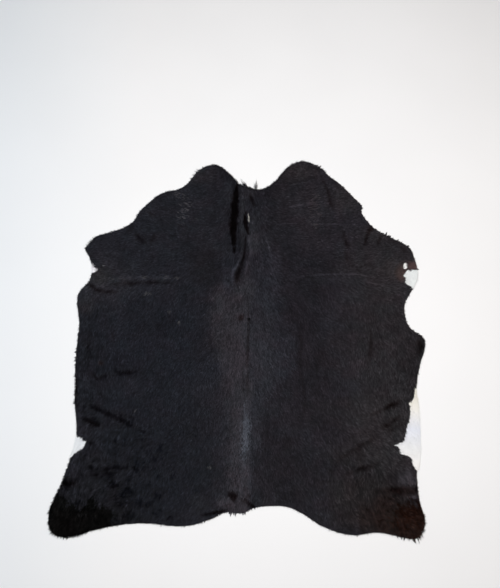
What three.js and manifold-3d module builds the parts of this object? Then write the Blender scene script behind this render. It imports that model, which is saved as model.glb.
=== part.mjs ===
// Hair-on cowhide lying on a floor with its hair side up.
// Millimetres, +Z up, +Y towards the neck. The origin is on the floor under the middle of the hide.

import * as THREE from "three";
import { mergeVertices } from "three/addons/utils/BufferGeometryUtils.js";
import Module from "manifold-3d";

// Thickness of the tanned skin and of the short coat lying on it
const SKIN = 2.5;
const COAT = 4;
const THICKNESS = SKIN + COAT;

// Half the hide's overall width and length
const HALF_WIDTH = 940;
const HALF_LENGTH = 1008;

// Rim landmarks, clockwise seen from above. The rim is smooth through each one except where it is sharp.
const NECK = [
  { at: "left foot of the left tuft", x: -23, y: 866, sharp: true },
  { at: "left tuft", x: 0, y: 882, sharp: true },
  { at: "between the tufts", x: 36, y: 849, sharp: true },
  { at: "right tuft", x: 62, y: 872, sharp: true },
  { at: "neck pit", x: 75, y: 833, sharp: true },
  { at: "right of the pit", x: 120, y: 847 },
  { at: "right neck rise", x: 168, y: 882 },
  { at: "right neck slope", x: 216, y: 941 },
  { at: "right crown start", x: 262, y: 986 },
  { at: "right crown", x: 333, y: HALF_LENGTH },
  { at: "right crown end", x: 428, y: 965 },
];

const RIGHT_SIDE = [
  { at: "right neck step", x: 470, y: 916 },
  { at: "right neck edge", x: 532, y: 865 },
  { at: "right shoulder", x: 600, y: 790 },
  { at: "above the nick", x: 648, y: 730 },
  { at: "shoulder nick", x: 641, y: 702 },
  { at: "below the nick", x: 682, y: 630 },
  { at: "right foreleg start", x: 720, y: 593 },
  { at: "right foreleg upper edge", x: 865, y: 512 },
  { at: "right foreleg corner", x: 897, y: 484 },
  { at: "right foreleg front", x: 912, y: 436 },
  { at: "right foreleg end", x: 928, y: 345 },
  { at: "right foreleg lower corner", x: 912, y: 288 },
  { at: "above the right elbow", x: 854, y: 191 },
  { at: "right elbow", x: 842, y: 138 },
  { at: "below the right elbow", x: 866, y: 48 },
  { at: "right belly start", x: 932, y: -4 },
  { at: "right belly", x: HALF_WIDTH, y: -48 },
  { at: "right belly end", x: 904, y: -160 },
  { at: "right flank dip", x: 879, y: -287 },
  { at: "right pale patch start", x: 886, y: -335 },
  { at: "right pale patch", x: 886, y: -505 },
  { at: "right pale patch end", x: 873, y: -656 },
  { at: "right stifle", x: 857, y: -690 },
  { at: "right hind leg", x: 860, y: -820 },
  { at: "right hind outer corner", x: 880, y: -940 },
  { at: "right hind corner", x: 844, y: -1000 },
];

const RUMP = [
  { at: "right hind tip", x: 816, y: -HALF_LENGTH },
  { at: "right hind inner corner", x: 763, y: -998 },
  { at: "right hind inner edge", x: 640, y: -977 },
  { at: "right buttock", x: 555, y: -989 },
  { at: "right buttock end", x: 490, y: -984 },
  { at: "right rump", x: 380, y: -946 },
  { at: "right rump slope", x: 292, y: -891 },
  { at: "right of the tail", x: 218, y: -858 },
  { at: "rump hollow", x: 150, y: -853 },
  { at: "right tail root", x: 61, y: -861 },
  { at: "tail", x: -4, y: -887 },
  { at: "left tail root", x: -86, y: -884 },
  { at: "left of the tail", x: -140, y: -909 },
  { at: "left rump", x: -248, y: -943 },
  { at: "left buttock", x: -320, y: -948 },
  { at: "left buttock end", x: -450, y: -935 },
  { at: "left hind inner edge", x: -550, y: -937 },
  { at: "left hind slope", x: -702, y: -962 },
  { at: "left hind inner corner", x: -808, y: -994 },
  { at: "left hind tip", x: -870, y: -999 },
];

const LEFT_SIDE = [
  { at: "left hind corner", x: -925, y: -972 },
  { at: "left hind end", x: -HALF_WIDTH, y: -900 },
  { at: "left hind outer edge", x: -925, y: -831 },
  { at: "left hind slant", x: -895, y: -757 },
  { at: "left hind leg", x: -869, y: -676 },
  { at: "left stifle", x: -832, y: -513 },
  { at: "left flank", x: -851, y: -319 },
  { at: "left belly", x: -860, y: -100 },
  { at: "left chest", x: -854, y: 60 },
  { at: "below the left elbow", x: -870, y: 229 },
  { at: "left elbow start", x: -816, y: 303 },
  { at: "left elbow", x: -806, y: 337 },
  { at: "above the left elbow", x: -811, y: 406 },
  { at: "left foreleg tip", x: -850, y: 486, sharp: true },
  { at: "left foreleg corner", x: -792, y: 559 },
  { at: "left foreleg notch", x: -762, y: 569 },
  { at: "left foreleg upper edge", x: -640, y: 612 },
  { at: "left foreleg start", x: -596, y: 645 },
  { at: "left shoulder step", x: -568, y: 699 },
  { at: "left shoulder", x: -464, y: 802 },
  { at: "left neck edge", x: -419, y: 823 },
  { at: "left neck step", x: -357, y: 836 },
  { at: "left crown start", x: -316, y: 863 },
  { at: "left crown rise", x: -235, y: 961 },
  { at: "left crown", x: -165, y: 987 },
  { at: "left crown end", x: -120, y: 972 },
  { at: "left neck slope", x: -53, y: 902 },
];

const RIM = [...NECK, ...RIGHT_SIDE, ...RUMP, ...LEFT_SIDE];
const RIM_STEP = 18;

// Folds that lift the hide off the floor. A crest runs through its points, and the hide falls to the
// floor within the left and right reaches, as seen when following the crest.
const FOLDS = [
  { name: "left bank of the neck trough", height: 14, left: 150, right: 26,
    crest: [[-64, 430], [-70, 600], [-74, 690], [-62, 860], [-54, 960]] },
  { name: "neck ridge", height: 17, left: 24, right: 26,
    crest: [[-62, 330], [-15, 430], [-8, 555], [-16, 690], [0, 815], [8, 900]] },
  { name: "right bank of the neck", height: 12, left: 22, right: 130,
    crest: [[44, 480], [50, 580], [44, 700], [52, 860]] },
  { name: "withers fold", height: 9, left: 24, right: 120,
    crest: [[-4, 250], [14, 380], [34, 470]] },
  { name: "spine", height: 6, left: 95, right: 95,
    crest: [[20, 230], [22, -300], [20, -930]] },
  { name: "tail curl", height: 9, left: 60, right: 40,
    crest: [[-60, -900], [-130, -905], [-215, -915]] },
  { name: "left shoulder crease", height: 6, left: 70, right: 70,
    crest: [[-900, 290], [-680, 320], [-340, 325]] },
  { name: "right shoulder crease", height: 6, left: 70, right: 70,
    crest: [[260, 350], [620, 350], [830, 300]] },
  { name: "right shoulder fold", height: 8, left: 60, right: 60,
    crest: [[700, 640], [735, 545], [690, 440]] },
  { name: "right neck fold", height: 7, left: 60, right: 60,
    crest: [[470, 940], [480, 800], [545, 560], [565, 430]] },
  { name: "left belly crease", height: 7, left: 65, right: 65,
    crest: [[-890, -215], [-770, -200], [-550, -175]] },
  { name: "left flank crease", height: 8, left: 75, right: 65,
    crest: [[-880, -380], [-740, -360], [-560, -450]] },
  { name: "left thigh crease", height: 6, left: 70, right: 70,
    crest: [[-720, -690], [-600, -650], [-480, -650]] },
  { name: "right flank crease", height: 8, left: 65, right: 75,
    crest: [[520, -640], [640, -520], [800, -310], [920, -230]] },
  { name: "right thigh crease", height: 7, left: 65, right: 65,
    crest: [[370, -720], [540, -680], [700, -630]] },
  { name: "right hind fold", height: 9, left: 70, right: 70,
    crest: [[600, -790], [740, -760], [900, -750]] },
];

// Share of a crest over which it rises from the floor at each end
const CREST_RISE = 0.18;
const CREST_SAMPLES = 24;

// The sheet's grid before it is trimmed: bands of even cells, close together across the neck and the spine
const GRID_MARGIN = 30;
const COLUMN_BANDS = [
  { band: "left side", from: -HALF_WIDTH - GRID_MARGIN, to: -150, cells: 15 },
  { band: "neck and spine", from: -150, to: 130, cells: 20 },
  { band: "right side", from: 130, to: HALF_WIDTH + GRID_MARGIN, cells: 15 },
];
const ROW_BANDS = [
  { band: "rump and belly", from: -HALF_LENGTH - GRID_MARGIN, to: 230, cells: 23 },
  { band: "shoulders and neck", from: 230, to: HALF_LENGTH + GRID_MARGIN, cells: 24 },
];

// How far the rim's cutting prism passes the sheet below and above
const CUT_BELOW = 20;
const CUT_HEIGHT = 100;

const wasm = await Module();
wasm.setup();

function rimStretches(rim) {
  // Starts at a sharp landmark, then parts the rim at every other sharp one.
  const stretches = [];
  let stretch = [rim[0]];
  for (const mark of [...rim.slice(1), rim[0]]) {
    stretch.push(mark);
    if (mark.sharp) {
      stretches.push(stretch);
      stretch = [mark];
    }
  }
  return stretches;
}

function smoothCurve(points) {
  return new THREE.CatmullRomCurve3(points, false, "centripetal");
}

function rimPoints(rim) {
  const points = [];
  for (const stretch of rimStretches(rim)) {
    const curve = smoothCurve(stretch.map((mark) => new THREE.Vector3(mark.x, mark.y, 0)));
    const steps = Math.max(1, Math.round(curve.getLength() / RIM_STEP));
    const spaced = curve.getSpacedPoints(steps);
    spaced.pop();
    points.push(...spaced.map((p) => new THREE.Vector2(p.x, p.y)));
  }
  return points;
}

function crestLine(fold) {
  return smoothCurve(fold.crest.map(([x, y]) => new THREE.Vector3(x, y, 0))).getSpacedPoints(CREST_SAMPLES);
}

function bell(share) {
  return share >= 1 ? 0 : 0.5 + 0.5 * Math.cos(Math.PI * share);
}

function foldLift(fold, x, y) {
  let nearest = { distance: Infinity, side: 0, along: 0 };
  for (let i = 0; i < CREST_SAMPLES; i += 1) {
    const a = fold.line[i];
    const b = fold.line[i + 1];
    const run = { x: b.x - a.x, y: b.y - a.y };
    const length2 = run.x * run.x + run.y * run.y;
    const t = THREE.MathUtils.clamp(((x - a.x) * run.x + (y - a.y) * run.y) / length2, 0, 1);
    const away = { x: x - a.x - t * run.x, y: y - a.y - t * run.y };
    const distance = Math.hypot(away.x, away.y);
    if (distance < nearest.distance) {
      nearest = { distance, side: run.x * away.y - run.y * away.x, along: (i + t) / CREST_SAMPLES };
    }
  }
  const reach = nearest.side > 0 ? fold.left : fold.right;
  const toEnd = Math.min(nearest.along, 1 - nearest.along);
  const rise = THREE.MathUtils.smoothstep(toEnd, 0, CREST_RISE);
  return fold.height * rise * bell(nearest.distance / reach);
}

const RAISED = FOLDS.map((fold) => ({ ...fold, line: crestLine(fold) }));

function lift(x, y) {
  return RAISED.reduce((sum, fold) => sum + foldLift(fold, x, y), 0);
}

function bandLines(bands) {
  const lines = [bands[0].from];
  for (const { from, to, cells } of bands) {
    for (let i = 1; i <= cells; i += 1) {
      lines.push(THREE.MathUtils.lerp(from, to, i / cells));
    }
  }
  return lines;
}

function sheetGeometry() {
  // A thin slab on the grid, with both faces raised by the folds.
  const columns = bandLines(COLUMN_BANDS);
  const rows = bandLines(ROW_BANDS);
  const lastColumn = columns.length - 1;
  const lastRow = rows.length - 1;
  const slab = new THREE.BoxGeometry(lastColumn, lastRow, THICKNESS, lastColumn, lastRow, 1);
  const place = slab.getAttribute("position");
  for (let i = 0; i < place.count; i += 1) {
    const x = columns[Math.round(place.getX(i) + lastColumn / 2)];
    const y = rows[Math.round(place.getY(i) + lastRow / 2)];
    place.setXYZ(i, x, y, place.getZ(i) + THICKNESS / 2 + lift(x, y));
  }
  return slab;
}

function rimGeometry() {
  const outline = new THREE.Shape(rimPoints(RIM));
  const prism = new THREE.ExtrudeGeometry(outline, { depth: CUT_HEIGHT, bevelEnabled: false });
  prism.translate(0, 0, -CUT_BELOW);
  return prism;
}

function solid(geometry) {
  const bare = geometry.clone();
  bare.deleteAttribute("normal");
  bare.deleteAttribute("uv");
  const merged = mergeVertices(bare);
  const vertProperties = new Float32Array(merged.getAttribute("position").array);
  const triVerts = new Uint32Array(merged.index.array);
  return new wasm.Manifold(new wasm.Mesh({ numProp: 3, vertProperties, triVerts }));
}

function geometryOf(body) {
  const mesh = body.getMesh();
  const geometry = new THREE.BufferGeometry();
  geometry.setAttribute("position", new THREE.BufferAttribute(mesh.vertProperties, 3));
  geometry.setIndex(new THREE.BufferAttribute(mesh.triVerts, 1));
  geometry.computeVertexNormals();
  return geometry;
}

function hide() {
  const trimmed = solid(sheetGeometry()).intersect(solid(rimGeometry()));
  const coat = new THREE.MeshStandardMaterial({ color: 0x232226, roughness: 0.62, metalness: 0 });
  const mesh = new THREE.Mesh(geometryOf(trimmed), coat);
  mesh.name = "hide";
  return mesh;
}

const cowhide = new THREE.Group();
cowhide.add(hide());

export default cowhide;
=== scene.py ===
"""Looks of a hair-on cowhide lying on a floor with its hair side up.

Metres, +Z up, +Y towards the neck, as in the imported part. The skin is one thin closed sheet on the part's
folds. The coat is four layers of short lying locks, with stray hairs on them and a fringe round the rim.
"""

import math
from collections import namedtuple

import bmesh
import bpy
import numpy as np
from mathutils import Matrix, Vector
from mathutils.bvhtree import BVHTree
from mathutils.geometry import delaunay_2d_cdt


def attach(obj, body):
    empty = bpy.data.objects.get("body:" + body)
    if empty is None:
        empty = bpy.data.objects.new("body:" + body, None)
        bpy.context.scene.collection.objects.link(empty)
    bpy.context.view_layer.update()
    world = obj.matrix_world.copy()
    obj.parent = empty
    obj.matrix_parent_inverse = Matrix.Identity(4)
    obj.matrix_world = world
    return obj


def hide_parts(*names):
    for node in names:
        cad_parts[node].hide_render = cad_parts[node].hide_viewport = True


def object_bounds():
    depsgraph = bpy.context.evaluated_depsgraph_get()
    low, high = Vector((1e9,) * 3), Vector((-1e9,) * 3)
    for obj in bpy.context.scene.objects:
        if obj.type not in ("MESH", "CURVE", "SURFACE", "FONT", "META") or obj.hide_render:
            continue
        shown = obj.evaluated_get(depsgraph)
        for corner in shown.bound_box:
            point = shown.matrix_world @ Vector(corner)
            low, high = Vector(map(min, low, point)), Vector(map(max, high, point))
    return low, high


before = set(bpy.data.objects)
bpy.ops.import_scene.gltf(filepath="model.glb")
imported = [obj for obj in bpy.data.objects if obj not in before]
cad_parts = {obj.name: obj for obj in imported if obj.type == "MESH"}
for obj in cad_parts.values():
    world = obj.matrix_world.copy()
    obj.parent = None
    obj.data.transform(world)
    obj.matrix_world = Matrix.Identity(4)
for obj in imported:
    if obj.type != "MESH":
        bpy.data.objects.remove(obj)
CAD_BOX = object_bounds()

# The skin: its thickness, how far its cut edge stays inside the part's rim and roots inside that edge, the
# size of its cells, and the share of a cell by which their points are scattered
SKIN = 0.0022
SKIN_INSET = 0.0040
ROOT_INSET = 0.0005
SKIN_CELL = 0.012
SKIN_SCATTER = 0.22
SKIN_SEED = 1

# How close points of the part and of the skin are joined, the height of a normal from which a face is the
# part's top or underside, and the kind of triangulation that keeps what is inside the outline
WELD_CLOSE = 1e-5
SKIN_CLOSE = 1e-7
LEVEL = 0.5
INSIDE_ONLY = 1

# Between these two places the neck's edge is straight, and only tufts of hair stand past it
NECK_EDGE = ((-0.0235, 0.867), (0.0755, 0.833))

# The spine, from which the hair turns out to both sides
SPINE_X = 0.02

# The grid on which heights and distances from the rim are kept, how far it passes the part's box, how far
# before its last point it is read at most, in steps, the spare cells of random grids, and the step over
# which slopes are measured
FIELD_STEP = 0.005
FIELD_MARGIN = 0.04
FIELD_END = 1.001
SPARE_CELLS = 3
SLOPE_STEP = 0.6 * FIELD_STEP
FIELD_LOW = (CAD_BOX[0].x - FIELD_MARGIN, CAD_BOX[0].y - FIELD_MARGIN)
FIELD_HIGH = (CAD_BOX[1].x + FIELD_MARGIN, CAD_BOX[1].y + FIELD_MARGIN)

# How far the part's folds are rounded, over how many times that far, and the height of slow swells
FOLD_BLUR = 0.012
BLUR_REACH = 3
SWELL_HEIGHT = 0.0016

# Random patterns over the hide: the size of their features, and how much longer than wide those are
Pattern = namedtuple("Pattern", "name seed size stretch")
PATTERNS = [
    Pattern("broad turn", 3, 0.160, 1.0),
    Pattern("fine turn", 4, 0.045, 1.0),
    Pattern("swell", 5, 0.130, 1.0),
    Pattern("broad", 7, 0.110, 1.0),
    Pattern("fine", 8, 0.030, 1.0),
    Pattern("edge", 8, 0.025, 1.0),
    Pattern("grain", 9, 0.008, 1.8),
    Pattern("fray", 9, 0.009, 1.0),
    Pattern("hue", 10, 0.050, 1.0),
    Pattern("patchy", 10, 0.030, 1.0),
    Pattern("streak", 11, 0.014, 7.0),
    Pattern("wave", 12, 0.020, 0.4),
]

# Troughs, ridges and streaks. A line's points are x, y and half the width there. Depth cuts into
# the sheet, or raises it where it is negative. Tone darkens or lightens the coat, and soft is the share of
# the half width over which both fade.
# The darker tones in the troughs, folds and rim lines are painted shade, and the lighter tones on the ridges
# are painted highlights. Spots and dark streaks darken the coat, and pale streaks and scratches lighten it.
Crease = namedtuple("Crease", "name depth tone soft line")
CREASES = [
    Crease("neck trough", 0.006, 0.09, 0.5, [
        (-0.036, 0.866, 0.008), (-0.039, 0.834, 0.013), (-0.047, 0.743, 0.022), (-0.053, 0.643, 0.026),
        (-0.054, 0.561, 0.022), (-0.049, 0.465, 0.008)]),
    Crease("neck slit", 0.006, 0.10, 0.6, [
        (0.014, 0.702, 0.006), (0.010, 0.663, 0.013), (0.012, 0.625, 0.014), (0.022, 0.593, 0.013),
        (0.026, 0.570, 0.007)]),
    Crease("neck slit top", 0.003, 0.28, 0.85, [
        (0.036, 0.800, 0.010), (0.047, 0.764, 0.018), (0.058, 0.732, 0.012)]),
    Crease("withers trough", 0.003, 0.28, 0.9, [
        (0.013, 0.556, 0.008), (0.009, 0.503, 0.011), (0.004, 0.450, 0.011), (-0.004, 0.412, 0.013)]),
    Crease("withers hollow", 0.004, 0.24, 0.9, [
        (0.000, 0.425, 0.011), (-0.016, 0.380, 0.026), (-0.030, 0.340, 0.036), (-0.038, 0.298, 0.022)]),
    Crease("neck ridge", -0.001, 1.35, 1.0, [
        (-0.014, 0.850, 0.010), (-0.009, 0.773, 0.013), (-0.007, 0.684, 0.013), (-0.010, 0.596, 0.012),
        (-0.008, 0.509, 0.010)]),
    Crease("left withers ridge", -0.002, 1.8, 0.8, [
        (-0.010, 0.490, 0.008), (-0.016, 0.439, 0.010), (-0.033, 0.391, 0.012), (-0.055, 0.357, 0.013),
        (-0.060, 0.305, 0.012)]),
    Crease("right withers ridge", -0.001, 1.8, 1.0, [
        (0.024, 0.567, 0.010), (0.031, 0.519, 0.014), (0.040, 0.470, 0.014), (0.022, 0.400, 0.014),
        (0.005, 0.330, 0.014)]),
    Crease("pale streak left", 0.000, 1.85, 1.0, [
        (0.118, 0.570, 0.008), (0.140, 0.480, 0.010), (0.158, 0.415, 0.006)]),
    Crease("pale streak right", 0.000, 1.75, 1.0, [
        (0.206, 0.575, 0.008), (0.186, 0.480, 0.010), (0.168, 0.415, 0.006)]),
    Crease("spine line", 0.001, 0.56, 1.0, [
        (0.022, 0.209, 0.009), (0.027, 0.078, 0.013), (0.025, -0.046, 0.013), (0.020, -0.152, 0.014),
        (0.025, -0.308, 0.010)]),
    Crease("right back streak", 0.001, 0.66, 1.0, [
        (0.286, 0.089, 0.012), (0.299, -0.046, 0.017), (0.287, -0.136, 0.019), (0.301, -0.220, 0.017),
        (0.314, -0.343, 0.016),
        (0.302, -0.425, 0.012)]),
    Crease("left shoulder crease", 0.003, 0.42, 1.0, [
        (-0.707, 0.282, 0.018), (-0.601, 0.288, 0.022), (-0.495, 0.295, 0.022), (-0.357, 0.290, 0.016)]),
    Crease("left shoulder light", -0.001, 1.35, 1.0, [
        (-0.700, 0.314, 0.018), (-0.600, 0.316, 0.024), (-0.500, 0.322, 0.024), (-0.420, 0.323, 0.026),
        (-0.340, 0.320, 0.020)]),
    Crease("left elbow crease", 0.003, 0.24, 0.9, [
        (-0.824, 0.289, 0.018), (-0.779, 0.256, 0.022), (-0.731, 0.243, 0.018), (-0.667, 0.240, 0.012)]),
    Crease("left arm fold", 0.002, 0.46, 1.0, [
        (-0.581, 0.573, 0.022), (-0.556, 0.540, 0.032), (-0.531, 0.520, 0.022)]),
    Crease("left arm fold inner", 0.002, 0.54, 1.0, [
        (-0.473, 0.573, 0.018), (-0.488, 0.543, 0.028), (-0.504, 0.520, 0.020)]),
    Crease("left arm rim", 0.001, 0.60, 1.0, [(-0.594, 0.625, 0.022), (-0.619, 0.573, 0.022)]),
    Crease("left neck fold", 0.001, 0.60, 1.0, [(-0.538, 0.708, 0.018), (-0.482, 0.678, 0.018)]),
    Crease("left neck fold inner", 0.001, 0.60, 1.0, [(-0.355, 0.619, 0.018), (-0.301, 0.596, 0.018)]),
    Crease("right neck fold", 0.002, 0.47, 0.85, [
        (0.428, 0.919, 0.008), (0.449, 0.864, 0.012), (0.464, 0.821, 0.015), (0.475, 0.755, 0.015),
        (0.492, 0.715, 0.012)]),
    Crease("right arm fold", 0.002, 0.40, 0.8, [
        (0.539, 0.586, 0.009), (0.550, 0.535, 0.015), (0.560, 0.488, 0.016)]),
    Crease("right arm fold low", 0.002, 0.45, 0.8, [
        (0.545, 0.474, 0.012), (0.552, 0.445, 0.015), (0.556, 0.415, 0.013)]),
    Crease("right fore fold", 0.003, 0.24, 0.8, [
        (0.697, 0.614, 0.024), (0.667, 0.561, 0.014), (0.652, 0.510, 0.010)]),
    Crease("right fore fold outer", 0.002, 0.45, 0.85, [
        (0.743, 0.558, 0.016), (0.719, 0.505, 0.013)]),
    Crease("right fore rim", 0.001, 0.55, 1.0, [(0.801, 0.532, 0.021), (0.842, 0.503, 0.026),
        (0.877, 0.457, 0.021)]),
    Crease("left belly crease", 0.003, 0.38, 1.0, [
        (-0.773, -0.204, 0.020), (-0.741, -0.225, 0.023), (-0.701, -0.209, 0.024), (-0.650, -0.199, 0.026),
        (-0.589, -0.194, 0.021), (-0.528, -0.189, 0.016)]),
    Crease("left belly streak", 0.001, 0.55, 1.0, [(-0.678, 0.045, 0.014), (-0.674, -0.035, 0.014)]),
    Crease("left belly streak outer", 0.001, 0.60, 1.0, [
        (-0.797, 0.034, 0.016), (-0.803, -0.046, 0.021), (-0.782, -0.131, 0.018)]),
    Crease("left rim tuft", 0.000, 0.15, 0.8, [(-0.852, -0.225, 0.016), (-0.852, -0.300, 0.021)]),
    Crease("right belly streak", 0.001, 0.52, 1.0, [(0.663, 0.040, 0.013), (0.661, -0.046, 0.018),
        (0.647, -0.141, 0.016)]),
    Crease("right belly shade", 0.001, 0.66, 1.0, [(0.428, -0.067, 0.035), (0.390, -0.126, 0.045),
        (0.368, -0.199, 0.035)]),
    Crease("right bulge rim", 0.001, 0.30, 1.0, [(0.905, -0.020, 0.029), (0.918, -0.055, 0.039),
        (0.900, -0.100, 0.029)]),
    Crease("left flank shade", 0.001, 0.88, 0.8, [
        (-0.800, -0.370, 0.050), (-0.723, -0.385, 0.060), (-0.640, -0.420, 0.054),
        (-0.580, -0.455, 0.036)]),
    Crease("left flank crease", 0.004, 0.34, 0.9, [
        (-0.774, -0.361, 0.014), (-0.742, -0.375, 0.024), (-0.700, -0.394, 0.022), (-0.657, -0.414, 0.023),
        (-0.605, -0.440, 0.023), (-0.554, -0.466, 0.021), (-0.490, -0.497, 0.010)]),
    Crease("left flank line", 0.002, 0.62, 1.0, [
        (-0.650, -0.386, 0.010), (-0.592, -0.413, 0.014), (-0.540, -0.434, 0.011)]),
    Crease("left flank rim", 0.000, 0.50, 1.0, [
        (-0.848, -0.290, 0.012), (-0.843, -0.335, 0.015), (-0.836, -0.385, 0.012)]),
    Crease("left stifle fold", 0.003, 0.18, 1.0, [
        (-0.808, -0.445, 0.026), (-0.779, -0.438, 0.038), (-0.745, -0.452, 0.036),
        (-0.706, -0.474, 0.022)]),
    Crease("left stifle line", 0.002, 0.30, 1.0, [
        (-0.788, -0.535, 0.016), (-0.747, -0.557, 0.020)]),
    Crease("left belly nick", 0.001, 0.45, 1.0, [(-0.740, -0.295, 0.012), (-0.700, -0.323, 0.012)]),
    Crease("left thigh hook", 0.002, 0.42, 1.0, [
        (-0.756, -0.657, 0.018), (-0.744, -0.686, 0.021), (-0.716, -0.713, 0.018)]),
    Crease("left thigh crease", 0.003, 0.46, 1.0, [
        (-0.710, -0.684, 0.016), (-0.666, -0.674, 0.018), (-0.597, -0.672, 0.018), (-0.543, -0.669, 0.023),
        (-0.500, -0.684, 0.016)]),
    Crease("left thigh crease end", 0.001, 0.55, 1.0, [(-0.483, -0.667, 0.012), (-0.424, -0.682, 0.012)]),
    Crease("left thigh dent", 0.002, 0.55, 1.0, [(-0.670, -0.686, 0.018), (-0.654, -0.711, 0.018)]),
    Crease("left ham line", 0.001, 0.60, 1.0, [
        (-0.772, -0.708, 0.010), (-0.713, -0.706, 0.013), (-0.645, -0.701, 0.010)]),
    Crease("left ham dent", 0.002, 0.38, 1.0, [(-0.660, -0.775, 0.021), (-0.613, -0.752, 0.018)]),
    Crease("left ham shade", 0.001, 0.60, 1.0, [
        (-0.582, -0.763, 0.016), (-0.552, -0.787, 0.022), (-0.522, -0.806, 0.016)]),
    Crease("left heel", 0.002, 0.12, 1.0, [
        (-0.905, -0.750, 0.030), (-0.862, -0.746, 0.040), (-0.808, -0.746, 0.026)]),
    Crease("left rump dent", 0.001, 0.42, 1.0, [(-0.371, -0.924, 0.014), (-0.343, -0.903, 0.014)]),
    Crease("right flank crease", 0.003, 0.34, 1.0, [
        (0.640, -0.412, 0.014), (0.706, -0.384, 0.017), (0.750, -0.364, 0.017)]),
    Crease("right flank fold", 0.003, 0.14, 1.0, [
        (0.730, -0.370, 0.020), (0.765, -0.354, 0.029), (0.800, -0.336, 0.022)]),
    Crease("right flank streak", 0.002, 0.22, 0.9, [
        (0.700, -0.474, 0.016), (0.748, -0.444, 0.026), (0.790, -0.418, 0.020)]),
    Crease("right flank streak low", 0.002, 0.35, 1.0, [
        (0.725, -0.494, 0.014), (0.767, -0.470, 0.018), (0.805, -0.450, 0.014)]),
    Crease("right stifle crease", 0.003, 0.48, 0.95, [
        (0.471, -0.636, 0.016), (0.530, -0.598, 0.022), (0.580, -0.568, 0.024), (0.625, -0.545, 0.026),
        (0.665, -0.517, 0.018)]),
    Crease("right thigh crease", 0.003, 0.36, 1.0, [
        (0.510, -0.703, 0.016), (0.588, -0.672, 0.022), (0.628, -0.665, 0.023), (0.685, -0.647, 0.018)]),
    Crease("right rump crease", 0.002, 0.55, 1.0, [(0.369, -0.744, 0.010), (0.458, -0.735, 0.010)]),
    Crease("right rump nick", 0.001, 0.55, 1.0, [(0.410, -0.677, 0.010), (0.449, -0.701, 0.012)]),
    Crease("right hind band left", 0.002, 0.75, 0.9, [
        (0.620, -0.786, 0.020), (0.672, -0.782, 0.026), (0.721, -0.782, 0.026), (0.770, -0.782, 0.022)]),
    Crease("right hind band", 0.004, 0.65, 0.85, [
        (0.720, -0.780, 0.016), (0.769, -0.782, 0.025), (0.814, -0.779, 0.032), (0.880, -0.777, 0.038)]),
    Crease("right hind rim", 0.001, 0.50, 1.0, [(0.838, -0.690, 0.018), (0.856, -0.722, 0.022)]),
    Crease("right ham hook", 0.002, 0.55, 1.0, [
        (0.566, -0.868, 0.014), (0.590, -0.862, 0.018), (0.614, -0.872, 0.016), (0.606, -0.904, 0.014)]),
    Crease("tail root", 0.003, 0.05, 0.6, [
        (-0.056, -0.800, 0.022), (-0.046, -0.807, 0.027), (-0.048, -0.820, 0.022)]),
    Crease("tail streak", 0.002, 0.30, 0.9, [(0.000, -0.824, 0.018), (0.035, -0.848, 0.022)]),
    Crease("tail rim", 0.002, 0.15, 0.9, [(0.035, -0.847, 0.018), (0.060, -0.868, 0.018)]),
    Crease("tail spots", 0.001, 0.55, 1.0, [(-0.008, -0.760, 0.014), (0.024, -0.780, 0.016)]),
    Crease("tail spots low", 0.001, 0.45, 1.0, [(0.024, -0.800, 0.013), (0.036, -0.812, 0.013)]),
    Crease("tail crease", 0.004, 0.10, 0.8, [
        (-0.200, -0.897, 0.006), (-0.160, -0.891, 0.011), (-0.120, -0.883, 0.012),
        (-0.077, -0.873, 0.007)]),
    Crease("tail fold", 0.002, 0.45, 1.0, [(-0.090, -0.852, 0.018), (-0.055, -0.848, 0.018)]),
    Crease("right hind strip", -0.001, 2.3, 0.9, [
        (0.792, -0.811, 0.008), (0.830, -0.812, 0.015), (0.868, -0.810, 0.017)]),
    Crease("right hind strands", 0.000, 1.7, 1.0, [
        (0.680, -0.829, 0.010), (0.727, -0.840, 0.013), (0.772, -0.857, 0.010)]),
    Crease("right neck scratch", 0.000, 1.8, 1.0, [
        (0.235, 0.728, 0.005), (0.292, 0.738, 0.006), (0.342, 0.752, 0.006), (0.419, 0.758, 0.006)]),
    Crease("right neck scratch fork", 0.000, 1.7, 1.0, [
        (0.292, 0.740, 0.004), (0.347, 0.740, 0.005), (0.413, 0.749, 0.006)]),
    Crease("right neck scratch low", 0.000, 1.7, 1.0, [
        (0.220, 0.631, 0.005), (0.252, 0.633, 0.006), (0.285, 0.632, 0.005)]),
    Crease("nick scratch", 0.000, 1.8, 1.0, [(0.034, 0.631, 0.004), (0.055, 0.634, 0.006),
        (0.082, 0.631, 0.004)]),
    Crease("nick scratch high", 0.000, 1.6, 1.0, [(0.045, 0.672, 0.005), (0.052, 0.720, 0.005)]),
    Crease("right crown scratch", 0.000, 1.6, 1.0, [(0.245, 0.858, 0.005), (0.333, 0.873, 0.006),
        (0.411, 0.888, 0.005)]),
    Crease("right arm scratch", 0.000, 1.9, 1.0, [
        (0.385, 0.628, 0.006), (0.430, 0.627, 0.008), (0.480, 0.629, 0.006), (0.535, 0.625, 0.005)]),
    Crease("right shoulder scratch", 0.000, 2.0, 1.0, [
        (0.280, 0.326, 0.005), (0.408, 0.338, 0.006), (0.514, 0.342, 0.008), (0.610, 0.338, 0.007),
        (0.673, 0.326, 0.005)]),
    Crease("right elbow scratch", 0.000, 1.7, 1.0, [(0.645, 0.298, 0.006), (0.700, 0.287, 0.008),
        (0.755, 0.273, 0.006)]),
]

# How uneven and frayed the lines' sides are, how patchy a soft crease is, and how far its ends fade
LINE_UNEVEN = 0.25
LINE_FRAY = 0.30
LINE_PATCHY = 0.5
PATCHY_RANGE = (-0.1, 0.7)
CREASE_END = 0.2
CREASE_END_FADE = 0.6
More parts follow.
